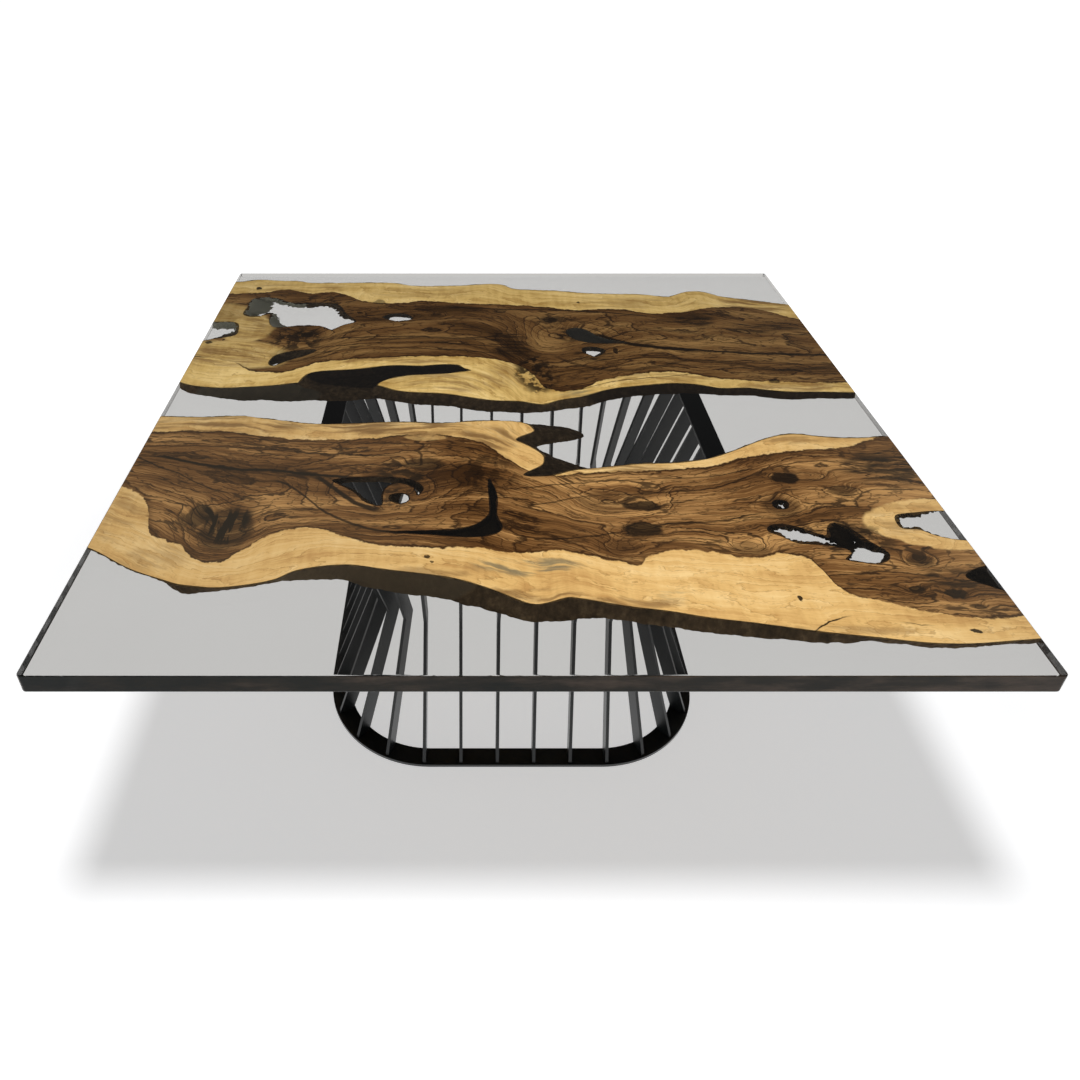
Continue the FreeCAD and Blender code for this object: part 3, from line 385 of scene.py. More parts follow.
BACK_FIGURE = {
    "heart_shades": ("3A250E", "684826", "987444"),
    "sap_shades": ("B08A49", "DDBA71", "F2D28D"),
    "painted_light_shares": ((0, 0.93), (0.3, 1.0), (1, 0.98)),
    "painted_haze_shares": ((0, 0.04), (0.3, 0.0), (0.7, 0.0), (1, 0.04)),
    "low_shares": (
        (0, 0.574), (0.07, 0.556), (0.14, 0.563), (0.2, 0.6), (0.3, 0.622), (0.42, 0.625), (0.48, 0.585),
        (0.54, 0.515), (0.6, 0.531), (0.67, 0.56), (0.74, 0.57), (0.81, 0.555), (1, 0.542)),
    "high_shares": (
        (0, 0.959), (0.14, 0.952), (0.3, 0.95), (0.37, 0.936), (0.47, 0.946), (0.51, 0.926),
        (0.6, 0.913), (0.72, 0.899), (0.79, 0.887), (0.84, 0.912), (0.89, 0.889), (1, 0.853)),
    "sap_below_shares": (
        (0, 0.655), (0.06, 0.64), (0.1, 0.61), (0.15, 0.605), (0.2, 0.635), (0.3, 0.652), (0.42, 0.656),
        (0.49, 0.64), (0.53, 0.6), (0.55, 0.55), (0.6, 0.552), (0.63, 0.575), (0.7, 0.6), (0.74, 0.605),
        (0.81, 0.585), (0.88, 0.575), (1, 0.57)),
    "sap_above_shares": (
        (0, 0.901), (0.07, 0.909), (0.1, 0.92), (0.15, 0.903), (0.188, 0.909), (0.214, 0.896),
        (0.246, 0.87), (0.3, 0.86), (0.36, 0.87), (0.42, 0.86), (0.5, 0.853), (0.565, 0.844),
        (0.62, 0.832), (0.7, 0.834), (0.74, 0.8185), (0.8, 0.822), (0.86, 0.84), (0.94, 0.834),
        (0.983, 0.803), (1, 0.79)),
    "sap_oval_shares": (
        (0.03, 0.655, 0.13, 0.06, 0.8, 0.65), (0.065, 0.755, 0.045, 0.065, 0.75, 0.6),
        (0.01, 0.82, 0.05, 0.05, 0.5, 0.5)),
    "knot_shares": (
        (0.17, 0.728, 0.05, 0.04, 0.8, 0.0), (0.15, 0.8, 0.13, 0.08, 1.0, 0.0),
        (0.315, 0.8, 0.06, 0.022, 0.6, 0.35), (0.625, 0.725, 0.07, 0.05, 1.2, 0.0),
        (0.572, 0.79, 0.02, 0.012, 0.4, 0.9), (0.56, 0.71, 0.05, 0.07, 1.0, 0.0),
        (0.373, 0.751, 0.022, 0.009, 0.4, 0.75), (0.05, 0.927, 0.007, 0.007, 0.2, 0.95),
        (0.16, 0.66, 0.05, 0.03, 0.6, 0.3), (0.89, 0.575, 0.01, 0.008, 0.3, 0.8),
        (0.246, 0.82, 0.008, 0.005, 0.2, 0.8), (0.379, 0.809, 0.016, 0.01, 0.3, 0.5),
        (0.1685, 0.732, 0.014, 0.013, 0.4, 0.95), (0.275, 0.866, 0.012, 0.012, 0.3, 0.6),
        (0.668, 0.674, 0.006, 0.012, 0.0, 0.9), (0.63, 0.647, 0.008, 0.006, 0.0, 0.8),
        (0.012, 0.705, 0.006, 0.006, 0.2, 0.9), (0.033, 0.715, 0.003, 0.003, 0.0, 0.9),
        (0.63, 0.863, 0.003, 0.004, 0.0, 0.9), (0.488, 0.826, 0.014, 0.01, 0.3, 0.6)),
    "tone_shares": (
        (0.55, 0.7, 0.035, 0.05, 0.35), (0.83, 0.75, 0.12, 0.06, 0.22), (0.45, 0.75, 0.13, 0.07, -0.1),
        (0.3, 0.69, 0.1, 0.025, 0.15), (0.51, 0.66, 0.03, 0.07, -0.5), (0.82, 0.795, 0.05, 0.03, -0.6),
        (0.93, 0.76, 0.08, 0.02, -0.45), (0.4, 0.845, 0.08, 0.02, -0.4), (0.6, 0.835, 0.1, 0.012, -0.2),
        (0.17, 0.88, 0.07, 0.02, -0.2), (0.16, 0.72, 0.06, 0.05, -0.2), (0.93, 0.82, 0.06, 0.02, 0.3),
        (0.25, 0.8, 0.05, 0.04, -0.2)),
    "patch_shares": (
        (0.155, 0.715, 0.05, 0.055, 50, 45, 0.85), (0.535, 0.6, 0.035, 0.075, 60, 50, 0.9),
        (0.605, 0.735, 0.035, 0.03, 40, 60, 0.8), (0.63, 0.66, 0.04, 0.025, 40, 60, 0.6),
        (0.5, 0.7, 0.04, 0.06, 12, 90, 0.7), (0.82, 0.79, 0.045, 0.03, 20, 60, 0.8),
        (0.93, 0.755, 0.08, 0.02, 14, 90, 0.6), (0.58, 0.79, 0.05, 0.02, 20, 70, 0.7)),
    "stain_shares": ((0.6, 0.535, 0.04, 0.015, 0.6),),
    "wall_colour_and_shade_shares": (
        (0.33, 0.605, 0.16, 0.045, "1C0F07"), (0.09, 0.85, 0.06, 0.1, "E5E6D2"),
        (0.03, 0.78, 0.04, 0.03, "E5E6D2"), (0.62, 0.73, 0.06, 0.04, "68685F"),
        (0.8, 0.55, 0.25, 0.04, "35240F"), (0.12, 0.545, 0.1, 0.03, "7A7260")),
    "brown_shares": (
        (0.05, 0.66, 0.09, 0.05, 0.7), (0.07, 0.76, 0.04, 0.06, 0.6), (0.3, 0.645, 0.15, 0.016, 0.7),
        (0.5, 0.6, 0.05, 0.05, 0.5), (0.72, 0.585, 0.12, 0.02, 0.7), (0.92, 0.56, 0.1, 0.014, 0.7),
        (0.12, 0.93, 0.12, 0.025, 0.45), (0.35, 0.905, 0.12, 0.03, 0.35), (0.72, 0.86, 0.16, 0.03, 0.4),
        (0.94, 0.855, 0.08, 0.04, 0.85), (0.41, 0.575, 0.11, 0.035, 0.65)),
    "jag_shares": ((0.14, 0.855, 0.12, 0.06, 1.2), (0.03, 0.775, 0.06, 0.04, 0.8)),
    "streak_shares": (
        (0.006, 0.57, 1.02, 0.55, ((0, 0.67), (0.55, 0.668), (0.6, 0.63), (0.65, 0.611), (0.72, 0.62),
            (0.78, 0.642), (0.85, 0.63), (0.9, 0.612), (1, 0.625))),
        (0.005, 0.25, 0.5, 0.55, ((0, 0.72), (0.27, 0.715), (0.36, 0.722), (0.47, 0.715), (1, 0.71))),
        (0.008, 0.64, 0.8, 0.97, ((0, 0.74), (0.64, 0.735), (0.68, 0.708), (0.73, 0.689), (0.8, 0.677),
            (1, 0.67))),
        (0.0045, 0.74, 1.02, 0.95, ((0, 0.7), (0.74, 0.689), (0.82, 0.674), (0.904, 0.665), (1, 0.661))),
        (0.0018, 0.66, 1.02, 0.7, ((0, 0.64), (0.66, 0.643), (0.72, 0.651), (0.8, 0.644), (0.9, 0.632),
            (1, 0.629))),
        (0.0018, 0.62, 0.95, 0.6, ((0, 0.615), (0.62, 0.615), (0.72, 0.633), (0.8, 0.622), (0.95, 0.605),
            (1, 0.6))),
        (0.0024, 0.22, 0.52, 0.8, ((0, 0.73), (0.22, 0.722), (0.32, 0.728), (0.44, 0.722), (0.52, 0.735),
            (1, 0.735))),
        (0.002, 0.2, 0.54, 0.75, ((0, 0.7), (0.2, 0.69), (0.3, 0.706), (0.42, 0.7), (0.54, 0.68),
            (1, 0.68))),
        (0.0016, 0.18, 0.5, 0.7, ((0, 0.67), (0.18, 0.668), (0.28, 0.684), (0.4, 0.68), (0.5, 0.665),
            (1, 0.66))),
        (0.003, 0.4, 0.74, 0.8, ((0, 0.85), (0.4, 0.842), (0.5, 0.834), (0.56, 0.832), (0.66, 0.823),
            (0.74, 0.808), (1, 0.8))),
        (0.0016, 0.6, 0.78, 0.7, ((0, 0.8), (0.6, 0.79), (0.66, 0.776), (0.72, 0.755), (0.78, 0.745),
            (1, 0.74))),
        (0.0012, 0.58, 0.8, 0.8, ((0, 0.555), (0.58, 0.545), (0.65, 0.574), (0.7, 0.585), (0.8, 0.6),
            (1, 0.6)))),
}
FIGURE = {"front_slab": FRONT_FIGURE, "back_slab": BACK_FIGURE}

# Wood: how its figure moves and fades.
GRAIN_RATE = 22.0  # how fast the grain changes on the way down, in noise cells per metre
SWAY_RATE = 0.8  # the same for borders and lines
LEAN_RATE = 5.0  # how fast the grain's lean changes from front to back
LEAN = 3.0  # range of the lean, in shares of the top per metre down
TURN_U, TURN_V = 3.1, 7.7  # keep the sway deep apart from the sway across
NEAR_SHARE = 0.6  # of the small sway, for what keeps its place
KNOT_BEND = 0.10  # how far knots push the grain aside
BORDER = 0.0012  # half width of the border between heartwood and sapwood
FRINGE_START, FRINGE_FULL = -0.022, -0.002  # past the border, where heartwood darkens towards it
SEAM_INSET = 0.0015  # dark seam in the heartwood along the border
SEAM_START, SEAM_FULL = 0.0035, 0.0004  # from the middle of the seam
STREAK_FADE = 0.012  # at both ends of a streak
ROUGH_SWAY = (13.0, 0.035, 0.030)  # for blots: scale, how far across, how far deep
TORN_SWAY = (60.0, 0.016, 0.012)  # the same for knots
SUNK_START, SUNK_FULL = 0.0004, 0.0014  # below the top, on the floor of a hollow
END_START, END_FULL = 0.0006, 0.0016  # from the ends of the slab, where walls begin


class Wood(Graph):
    """Figured walnut of one slab, drawn from its lists of shares."""

    def __init__(self, name):
        super().__init__(bpy.data.materials.new(name + "_wood"))
        self.figure = FIGURE[name]
        # Where a spot is, in shares of the top; the figure leans on its way down.
        self.place = self.position()
        self.x, y, self.z = self.split(self.place)
        below = self.sub(TOP_Z, self.z)
        self.depth = self.mul(below, GRAIN_RATE)
        self.across = self.scaled(self.x, 1 / WIDTH, 0.5)
        straight = self.scaled(y, 1 / DEPTH, 0.5)
        lean = self.noise(self.combine(0.0, self.mul(y, LEAN_RATE)), detail=1.0)
        deep = self.scaled(below, self.scaled(lean, LEAN, -LEAN / 2), straight)
        self.flat = self.combine(self.across, straight)
        layer = self.mul(below, SWAY_RATE)
        plan = self.combine(self.across, deep, layer)
        turned = self.combine(self.add(deep, TURN_U), self.add(self.across, TURN_V), layer)
        # The same with some sway: near keeps its place, and the others are more and more ragged.
        small_u = self.sway(plan, scale=24.0, amount=0.012)
        small_v = self.sway(turned, scale=24.0, amount=0.010)
        rag = self.sway(turned, scale=95.0, amount=0.0035)
        self.near_u = self.scaled(small_u, NEAR_SHARE, self.across)
        self.near_v = self.add(self.scaled(small_v, NEAR_SHARE, deep), rag)
        self.near = self.combine(self.near_u, self.near_v)
        self.rough, self.torn = (
            self.combine(
                self.add(self.near_u, self.sway(plan, scale, amount_u, detail=4.0)),
                self.add(self.near_v, self.sway(turned, scale, amount_v, detail=4.0)))
            for scale, amount_u, amount_v in (ROUGH_SWAY, TORN_SWAY))
        self.border_v = self.add(self.near_v, self.add(
            self.sway(turned, scale=45.0, amount=0.013, detail=4.0),
            self.sway(plan, scale=150.0, amount=0.006, detail=3.0)))
        # Along the grain, and from 0 to 1 over the width of the slab; flow goes round the knots.
        self.u = self.add(self.across, small_u, self.sway(plan, scale=4.0, amount=0.05))
        v = self.add(deep, small_v, self.sway(turned, scale=5.0, amount=0.035), rag)
        low = self.curve(self.u, self.figure["low_shares"])
        high = self.curve(self.u, self.figure["high_shares"])
        self.level = self.math("DIVIDE", self.sub(v, low), self.sub(high, low))
        self.swirl = self.swell("knot_shares")
        self.flow = self.scaled(self.swirl, KNOT_BEND, self.level)

    def sway(self, vector, scale, amount, detail=2.0):
        """Noise round zero, amount from end to end."""
        return self.scaled(self.noise(vector, scale, detail), amount, -amount / 2)

    def along(self, across_rate, level_rate, layer, detail=3.0, roughness=0.55):
        """Noise drawn out along the grain."""
        layer = self.add(self.depth, layer)
        vector = self.combine(self.mul(self.u, across_rate), self.mul(self.flow, level_rate), layer)
        return self.noise(vector, 1.0, detail, roughness)

    def reach(self, spot, oval):
        """Squared distance from an oval's middle, one on its outline."""
        ku, kv, ru, rv = oval[:4]
        scaled = self.node("ShaderNodeVectorMath", operation="MULTIPLY_ADD")
        self.fill(scaled, spot, (1 / ru, 1 / rv, 0), (-ku / ru, -kv / rv, 0))
        square = self.node("ShaderNodeVectorMath", operation="DOT_PRODUCT")
        return self.fill(square, scaled.outputs[0], scaled.outputs[0]).outputs["Value"]

    def within(self, spot, oval, middle, most, outline=1.0):
        """0 outside an oval and most in its middle; both ends of the slope are squared distances."""
        return self.smooth(self.reach(spot, oval), outline, middle, most)

    def swell(self, list_name):
        """Sum of soft hills over the ovals of a list, each as high as its rings or lightness."""
        result = 0.0
        for oval in self.figure[list_name]:
            height = oval[4]
            if height:
                hill = self.math("POWER", math.exp(-1), self.reach(self.near, oval))
                result = self.scaled(hill, height, result)
        return result

    def cover(self, list_name):
        """Where the ovals of a list lie, each as strong as it says."""
        return self.largest(*(
            self.within(self.rough, oval, middle=0.2, most=strength)
            for *oval, strength in self.figure[list_name]))

    def veins(self, field, rate, width, layer):
        """Thin lines at even steps of a field, broken here and there."""
        gap = self.math("PINGPONG", self.mul(field, rate), 0.5)
        broken = self.smooth(self.along(7.0, 9.0, layer), 0.28, 0.48)
        return self.mul(self.smooth(gap, width, width * 0.3), broken)

    def mean(self, *pairs):
        """Tone round a half from values and their strengths."""
        result = 0.5
        for value, strength in pairs:
            result = self.add(self.scaled(value, strength, -strength / 2), result)
        return result

    def crease(self, across_rate, level_rate, layer):
        """Distance from the winding lines where a noise is at its middle."""
        value = self.along(across_rate, level_rate, layer, detail=4.0, roughness=0.5)
        return self.absolute(self.sub(value, 0.5))

    def heart(self, field, fibre, hair):
        """Colour of the heartwood: clouds and rings with dark lines."""
        ring = self.math("FRACT", self.mul(field, 3.0))
        cloud = self.along(3.0, 7.0, layer=9.0, detail=6.0, roughness=0.62)
        tone = self.mean((ring, -0.20), (fibre, 1.1), (hair, 0.6), (cloud, 2.2))
        tone = self.add(tone, self.swell("tone_shares"))
        places = (0.05, 0.45, 0.92)
        colour = self.ramp(tone, *zip(places, self.figure["heart_shades"]))
        lines = self.largest(
            self.veins(field, rate=3.0, width=0.07, layer=2.0),
            self.mul(self.veins(field, rate=7.1, width=0.08, layer=6.0), 0.7),
            self.smooth(self.crease(4.5, 9.0, layer=30.0), 0.014, 0.004, most=0.95),
            self.smooth(self.crease(8.0, 17.0, layer=55.0), 0.011, 0.003, most=0.8))
        return self.tint(self.mul(lines, 0.85), colour, shade("22140A"))

    def sapwood(self, field, fibre, hair):
        """Colour of the sapwood: clouds, rings and rays with grey stains and brown streaks."""
        ring = self.math("FRACT", self.mul(field, 6.0))
        rays = self.noise(self.combine(self.mul(self.near_u, 95.0), self.mul(self.level, 5.0)), detail=4.0)
        cloud = self.along(5.0, 10.0, layer=14.0, detail=5.0, roughness=0.6)
        tone = self.mean((ring, -0.25), (cloud, 1.8), (fibre, 0.5), (hair, 0.35), (rays, 0.65))
        places = (0.1, 0.5, 0.9)
        colour = self.ramp(tone, *zip(places, self.figure["sap_shades"]))
        lines = self.largest(
            self.veins(field, rate=6.0, width=0.05, layer=18.0),
            self.mul(self.veins(field, rate=15.0, width=0.10, layer=20.0), 0.55))
        colour = self.tint(self.mul(lines, 0.4), colour, shade("8A6230"))
        grey = self.smooth(self.along(14.0, 40.0, layer=22.0, detail=4.0), 0.44, 0.6)
        colour = self.tint(self.mul(grey, self.cover("stain_shares")), colour, shade("6E6A55"))
        brown = self.smooth(self.along(12.0, 34.0, layer=26.0, detail=4.0), 0.38, 0.60)
        return self.tint(self.mul(brown, self.cover("brown_shares")), colour, shade("7C5A34"))

    def sap_mask(self):
        """Where sapwood is, and how far past its border a spot lies."""
        below = self.sub(self.curve(self.near_u, self.figure["sap_below_shares"]), self.border_v)
        above = self.sub(self.border_v, self.curve(self.near_u, self.figure["sap_above_shares"]))
        edge = self.largest(below, above)
        bands = self.smooth(edge, -BORDER, BORDER)
        ovals = [self.within(self.rough, oval, middle, most=strength)
                 for *oval, strength, middle in self.figure["sap_oval_shares"]]
        return self.largest(bands, *ovals), edge

    def marks(self):
        """Dark knots, cracks and patches of ink-like streaks."""
        found = []
        for *oval, _, black in self.figure["knot_shares"]:
            if black:
                found.append(self.within(self.torn, oval, middle=0.45, most=black, outline=0.85))
        for *oval, across_rate, deep_rate, black in self.figure["patch_shares"]:
            vector = self.combine(self.mul(self.near_u, across_rate), self.mul(self.near_v, deep_rate), 3.0)
            ink = self.smooth(self.noise(vector, detail=4.0, roughness=0.6), 0.44, 0.54)
            found.append(self.mul(ink, self.within(self.rough, oval, middle=0.3, most=black)))
        for half, start, stop, black, table in self.figure["streak_shares"]:
            gap = self.absolute(self.sub(self.near_v, self.curve(self.across, table)))
            off = self.absolute(self.sub(self.across, (start + stop) / 2))
            reach = (stop - start) / 2
            run = self.smooth(off, reach + STREAK_FADE, reach - STREAK_FADE, most=black)
            found.append(self.mul(self.smooth(gap, half, half * 0.4), run))
        return self.largest(*found)

    def face(self):
        """Colour of the sawn faces, with painted light and shade across the top and a painted grey haze of
        reflection.
        """
        broad = self.mul(self.along(2.6, 3.2, layer=0.0, detail=2.0), 2.2)
        small = self.mul(self.along(9.0, 8.0, layer=4.0, detail=5.0, roughness=0.64), 0.55)
        field = self.add(self.scaled(self.level, 1.2, self.add(broad, small)), self.swirl)
        fibre = self.along(10.0, 130.0, layer=1.0, detail=4.0, roughness=0.65)
        hair = self.along(30.0, 300.0, layer=5.0, detail=2.0, roughness=0.6)
        mask, edge = self.sap_mask()
        wood = self.tint(mask, self.heart(field, fibre, hair), self.sapwood(field, fibre, hair))
        fringe = self.mul(self.smooth(edge, FRINGE_START, FRINGE_FULL, most=0.35), self.sub(1.0, mask))
        wood = self.tint(fringe, wood, shade("4A2D14"))
        seam = self.smooth(self.absolute(self.add(edge, SEAM_INSET)), SEAM_START, SEAM_FULL, most=0.9)
        seam = self.mul(seam, self.smooth(self.along(12.0, 6.0, layer=40.0), 0.36, 0.56))
        wood = self.tint(seam, wood, shade("33200F"))
        wood = self.tint(self.marks(), wood, shade("170E07"))
        # Painted grey haze of reflection over the wood, greyer towards both ends.
        wood = self.tint(self.curve(self.across, self.figure["painted_haze_shares"]), wood, shade("8C8474"))
        # Painted light and shade: the wood darker towards the left.
        light = self.curve(self.across, self.figure["painted_light_shares"])
        return self.tint(1.0, wood, self.combine(light, light, light), "MULTIPLY")

    def wall_mask(self):
        """One on live-edge walls, void walls and the floors of the blind hollows."""
        normal_z = self.split(self.node("ShaderNodeNewGeometry").outputs["True Normal"])["Z"]
        upright = self.smooth(self.absolute(normal_z), 0.985, 0.95)
        sunk = self.mul(
            self.smooth(self.z, TOP_Z - SUNK_START, TOP_Z - SUNK_FULL), self.smooth(normal_z, 0.0, 0.5))
        inside = self.smooth(self.absolute(self.x), WIDTH / 2 - END_START, WIDTH / 2 - END_FULL)
        return self.mul(self.largest(upright, sunk), inside)

    def build(self):
        wall = self.wall_mask()
        streak = self.noise(self.stretched(self.place, 60.0, 60.0, 14.0), detail=5.0, roughness=0.65)
        bark = self.ramp(streak, (0.3, "4C3C25"), (0.52, "735D40"), (0.75, "9C825E"))
        # Walls inside these ovals take their listed colour, which holds painted shade in the notch and
        # hollows and painted light on some void walls.
        for *oval, colour in self.figure["wall_colour_and_shade_shares"]:
            bark = self.tint(self.within(self.flat, oval, middle=0.8, most=0.8), bark, shade(colour))
        return self.finish(self.principled(
            Base_Color=self.tint(wall, self.face(), bark),
            Roughness=self.mix(wall, 0.18, 0.8), Specular_IOR_Level=0.15,
            Normal=self.bump(self.mul(streak, wall), strength=0.5, distance=0.004)))


STEEL = steel_material()
RESIN = resin_material()
ZINC = plain_metal("zinc_steel", "8C8F92", "B4B7BA")
BRASS = plain_metal("brass", "A88238", "CBA65A")
WOOD = {name: Wood(name).build() for name in SLABS}


def dress(piece, material):
    piece.data.materials.clear()
    piece.data.materials.append(material)


for name, piece in nodes.items():
    if name.startswith("rib_") or name.endswith("_ring"):
        dress(piece, STEEL)
    elif name.startswith("resin"):
        dress(piece, RESIN)
    elif name == "ring_inserts":
        dress(piece, BRASS)
    elif name.startswith("ring_"):
        dress(piece, ZINC)

# Slabs: the walls stand a little way into the resin, ragged as a live edge is, so the two never share a face.
WALL_GROWTH = 0.0004  # the least that a wall moves
WALL_RAG = 0.005  # the most that raggedness adds, but for the jag ovals
COARSE_RATES = (30, 30, 14)  # raggedness, in noise cells per metre
FINE_RATES = (120, 120, 40)
COARSE_SHARE = 0.6
FINE_SHARE = 0.5
FACE_SINK = 0.00005  # how far the flats sink
NEAR = 0.0001  # what counts as in a flat
WELD = 0.00001  # vertices nearer than this are one
FLAT_NORMAL = 0.99  # the least upward or downward part of a flat's normal
LEANING_NORMAL = 0.5  # walls that lean more than this move along their normals
END_EASE = 0.0035  # what stays as it is at the two ends
ROOM_SHARE = 0.4  # of the way to the wood opposite
ROOM_REACH = 0.05  # how far to look for it
RAY_GAP = 0.0001  # keeps a ray off the face that it starts from
RAY_INSET = 0.001  # and off the flats
WALL_CUTS = ((3, 0.028), (1, 0.014), (1, 0.005))  # cuts in wall edges longer than this
WITH_HULL = 0  # delaunay_2d_cdt gives all triangles, not only those inside
SAME_SPOT = 1e-7  # its measure for two spots that are one


def is_flat(face):
    height = face.calc_center_median().z
    return abs(face.normal.z) > FLAT_NORMAL and (height > TOP_Z - NEAR or height < UNDER_Z + NEAR)


def is_wall(face):
    return not is_flat(face) and abs(face.calc_center_median().x) < WIDTH / 2 - END_EASE


def waves(spot, rates):
    return noise.noise(Vector([place * rate for place, rate in zip(spot, rates)]))


def ragged(name, spot):
    """How far the wall at a spot moves."""
    across, deep = spot.x / WIDTH + 0.5, spot.y / DEPTH + 0.5
    jag = 0.0
    for u, v, half_u, half_v, more in FIGURE[name]["jag_shares"]:
        if ((across - u) / half_u) ** 2 + ((deep - v) / half_v) ** 2 < 1:
            jag = more
    coarse = COARSE_SHARE * waves(spot, COARSE_RATES)
    fine = (FINE_SHARE + jag) * waves(spot, FINE_RATES)
    return WALL_GROWTH + WALL_RAG * (1 + jag) * min(max(0.5 + coarse + fine, 0.0), 1.0)


def room_ahead(tree, spot, way):
    """How far it is this way through the resin to the wood opposite."""
    height = min(max(spot.z, UNDER_Z + RAY_INSET), TOP_Z - RAY_INSET)
    start = Vector((spot.x, spot.y, height)) + way * RAY_GAP
    gone = 0.0
    while gone < ROOM_REACH:
        hit, normal, _, distance = tree.ray_cast(start, way, ROOM_REACH)
        if hit is None:
            return ROOM_REACH
        gone += distance + RAY_GAP
        if normal.dot(way) < 0:
            break
        start = hit + way * RAY_GAP
    return gone


def windings(spots, starts, stops):
    """How many times the directed edges go round each spot."""
    x, y = spots[:, :1], spots[:, 1:]
    (ax, ay), (bx, by) = starts.T, stops.T
    side = (bx - ax) * (y - ay) - (x - ax) * (by - ay)
    rising = (ay <= y) & (by > y) & (side > 0)
    falling = (ay > y) & (by <= y) & (side < 0)
    return rising.sum(axis=1) - falling.sum(axis=1)


def open_rims(made, level, up):
    """Ends of the open edges at this height, in the direction that a flat goes round them."""
    rims = []
    for edge in made.edges:
        if edge.is_boundary and all(abs(vertex.co.z - level) < NEAR for vertex in edge.verts):
            loop = edge.link_loops[0]
            ends = (loop.link_loop_next.vert, loop.vert)
            rims.append(ends if up else ends[::-1])
    return rims


def fill_flat(made, level, up):
    """A flat inside the rims that the walls leave open at this height."""
    rims = open_rims(made, level, up)
    rim_verts = list(dict.fromkeys(vertex for ends in rims for vertex in ends))
    order = {vertex: number for number, vertex in enumerate(rim_verts)}
    links = [(order[first], order[second]) for first, second in rims]
    rim_spots = [vertex.co.xy for vertex in rim_verts]
    spots, _, triangles, sources, _, _ = delaunay_2d_cdt(rim_spots, links, [], WITH_HULL, SAME_SPOT)
    verts = [rim_verts[source[0]] if source else made.verts.new((spot.x, spot.y, level))
             for spot, source in zip(spots, sources)]
    plan = numpy.array([tuple(spot) for spot in spots])
    rim_plan = numpy.array([tuple(spot) for spot in rim_spots])
    starts, stops = (rim_plan[[link[side] for link in links]] for side in (0, 1))
    turns = windings(plan[numpy.array(triangles)].mean(axis=1), starts, stops)
    for triangle, turn in zip(triangles, turns):
        corners = [verts[number] for number in (triangle if up else triangle[::-1])]
        if turn > 0 and made.faces.get(corners) is None:
            made.faces.new(corners)


def cut_walls(made):
    """Finer walls, for the ragged shifts."""
    for cuts, longest in WALL_CUTS:
        edges = {}
        for face in made.faces:
            if is_wall(face):
                edges.update((edge, None) for edge in face.edges if edge.calc_length() > longest)
        bmesh.ops.subdivide_edges(made, edges=list(edges), cuts=cuts, use_grid_fill=True)
        made.normal_update()


def wall_pushes(made):
    """Which way each vertex of a wall faces, by the area of its walls."""
    pushes = {}
    for face in made.faces:
        if is_wall(face):
            push = face.normal * face.calc_area()
            for vertex in face.verts:
                pushes[vertex] = pushes.get(vertex, Vector()) + push
    return pushes


def shift_of(name, tree, spot, push):
    """Walls move into the resin and flats sink a hair."""
    on_top = spot.z > TOP_Z - NEAR
    on_floor = spot.z < UNDER_Z + NEAR
    level_push = Vector((push.x, push.y, 0))
    if on_top or on_floor:
        push = level_push
    shift = Vector()
    if push.length > 0 and abs(spot.x) <= WIDTH / 2 - END_EASE:
        if abs(push.normalized().z) < LEANING_NORMAL:
            way = level_push.normalized()
            shift = way * min(ragged(name, spot), room_ahead(tree, spot, way) * ROOM_SHARE)
        else:
            shift = push.normalized() * WALL_GROWTH
    if on_top:
        shift.z = -FACE_SINK
    if on_floor:
        shift.z = FACE_SINK
    return shift


def grown_slab(name):
    """A slab's solid with ragged walls and sunk flats, in place of its CAD node."""
    mesh = nodes[name].data.copy()
    mesh.name = name + "_wood"
    made = bmesh.new()
    made.from_mesh(mesh)
    bmesh.ops.remove_doubles(made, verts=made.verts, dist=WELD)
    made.normal_update()
    cut_walls(made)
    pushes = wall_pushes(made)
    tree = BVHTree.FromBMesh(made)
    shifts = [shift_of(name, tree, vertex.co, pushes.get(vertex, Vector())) for vertex in made.verts]
    walls = {face for face in made.faces if is_wall(face)}
    flats = [face for face in made.faces if is_flat(face)]
    for vertex, shift in zip(made.verts, shifts):
        vertex.co += shift
    bmesh.ops.delete(made, geom=flats, context="FACES")
    fill_flat(made, TOP_Z - FACE_SINK, up=True)
    fill_flat(made, UNDER_Z + FACE_SINK, up=False)
    for face in made.faces:
        face.smooth = face in walls
    for edge in made.edges:
        edge.smooth = all(face in walls for face in edge.link_faces)
    made.to_mesh(mesh)
    made.free()
    piece = bpy.data.objects.new(name + "_wood", mesh)
    bpy.context.scene.collection.objects.link(piece)
    dress(piece, WOOD[name])
    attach(piece, "root")
    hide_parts(name)


for name in SLABS:
    grown_slab(name)

# Floor: its size, how far out it turns plain white, and how much white it shows near the table.
FLOOR_SIZE = 120
FLOOR_FADE = (1.35, 2.3)
FLOOR_GLOW = 0.53


def floor_material():
    """Matt floor with the table's shadow, lifted to white for the camera; gloss and resin see it white."""
    g = new_graph("studio_floor")
    place = g.position()
    grain = g.noise(place, scale=60.0, detail=2.0)
    matt = g.named("ShaderNodeBsdfDiffuse", Color=g.ramp(grain, (0.0, "DCDDDF"), (1.0, "E0E1E3")))
    x, y, _ = g.split(place)
    away = g.math("SQRT", g.add(g.mul(x, x), g.mul(y, y)))
    lift = g.mul(g.ray("Camera"), g.mix(g.smooth(away, *FLOOR_FADE), FLOOR_GLOW, 1.0))
    lifted = g.fill(g.node("ShaderNodeAddShader"), matt.outputs[0], g.glow(lift))
    return g.finish(g.blend(g.seen_in_gloss(), lifted.outputs[0], g.glow(1.0)))


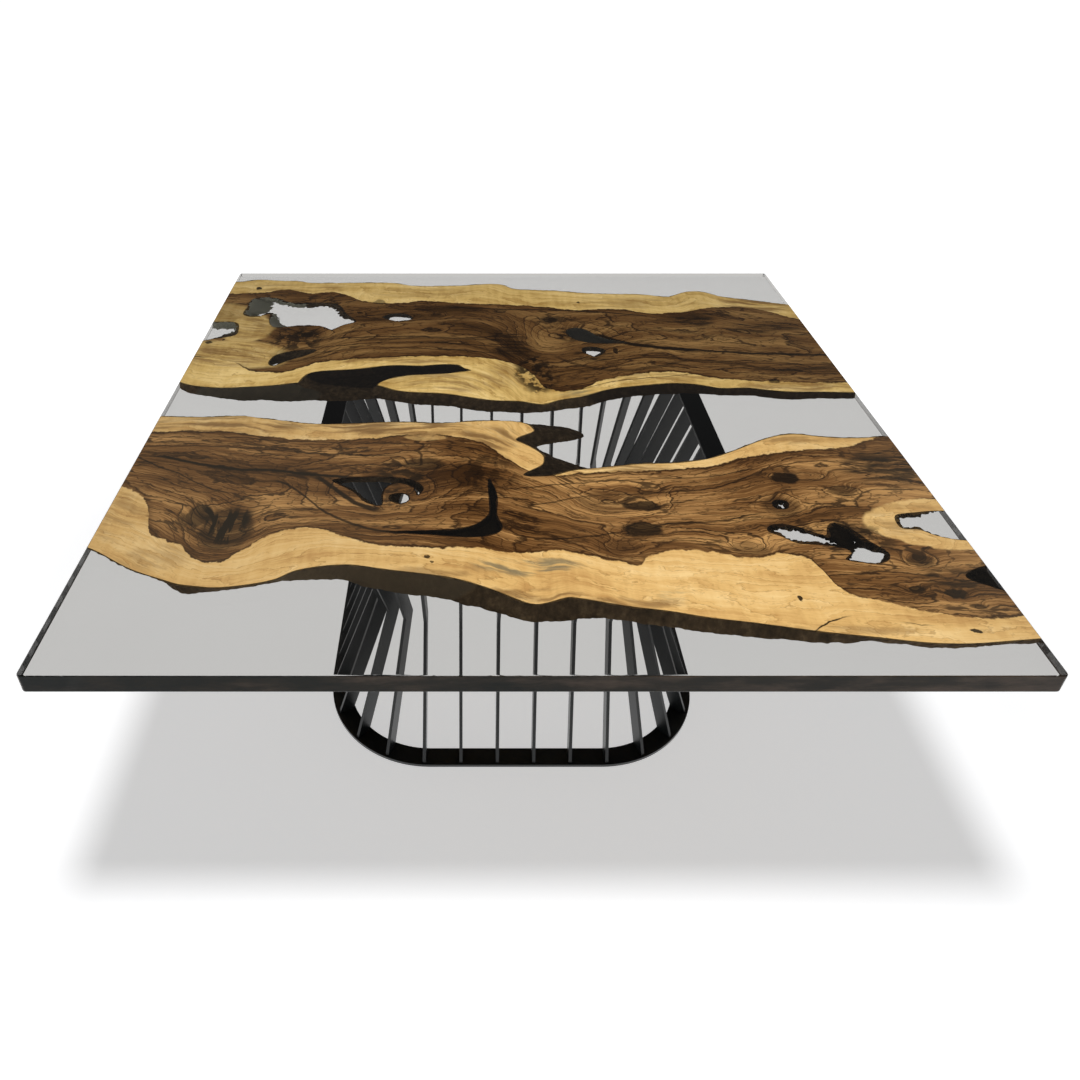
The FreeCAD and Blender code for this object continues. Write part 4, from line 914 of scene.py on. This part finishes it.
bpy.ops.mesh.primitive_plane_add(size=FLOOR_SIZE, location=(0, 0, LOW.z))
floor = bpy.context.object
floor.name = "studio_floor"
floor.data.materials.append(floor_material())

# Sky: how high its white fades out, as the sine of the elevation, and its strength above that.
LIGHT_FADE = (0.10, 0.27)
GLINT_FADE = (0.02, 0.12)
OVERHEAD = 0.08


def studio_world():
    """White to look at; as light, and to metal and resin, white low down and dim overhead."""
    g = Graph(bpy.data.worlds.new("studio"))
    height = g.split(g.node("ShaderNodeTexCoord").outputs["Generated"])["Z"]
    light, glint = (g.eased(height, *fade, 1.0, OVERHEAD) for fade in (LIGHT_FADE, GLINT_FADE))
    level = g.mix(g.seen_in_gloss(), light, glint)
    sky = g.named("ShaderNodeBackground", Color=WHITE, Strength=g.largest(level, g.ray("Camera")))
    return g.finish(sky.outputs[0], "ShaderNodeOutputWorld")


bpy.context.scene.world = studio_world()

# Key lamp: above the floor in front of the table, shining straight down.
KEY_SPOT = Vector((-0.2, -1.25, 4.45))
KEY_SIZE = 0.7
KEY_POWER = 141

# Camera, fitted to the photograph: its place is from the middle of the top.
LENS = 28.87
SENSOR = 36
SHIFT_X = 0.0709
SHIFT_Y = -0.0776
EYE = Vector((-0.1309, -1.8632, 1.1008))
LOOK_DOWN = 33.84


def placed(name, data, spot):
    holder = bpy.data.objects.new(name, data)
    bpy.context.scene.collection.objects.link(holder)
    holder.location = spot
    return holder


lamp = bpy.data.lights.new("key", "AREA")
lamp.shape = "DISK"
lamp.size = KEY_SIZE
lamp.energy = KEY_POWER
key = placed("key", lamp, KEY_SPOT)
key.visible_glossy = False
key.visible_transmission = False

camera = bpy.data.cameras.new("photo_camera")
camera.sensor_width = SENSOR
camera.lens = LENS
camera.shift_x = SHIFT_X
camera.shift_y = SHIFT_Y
eye = placed("photo_camera", camera, EYE + Vector((0, 0, TOP_Z)))
eye.rotation_euler = (math.radians(90 - LOOK_DOWN), 0, 0)
bpy.context.scene.camera = eye
bpy.context.scene.view_settings.view_transform = "Standard"
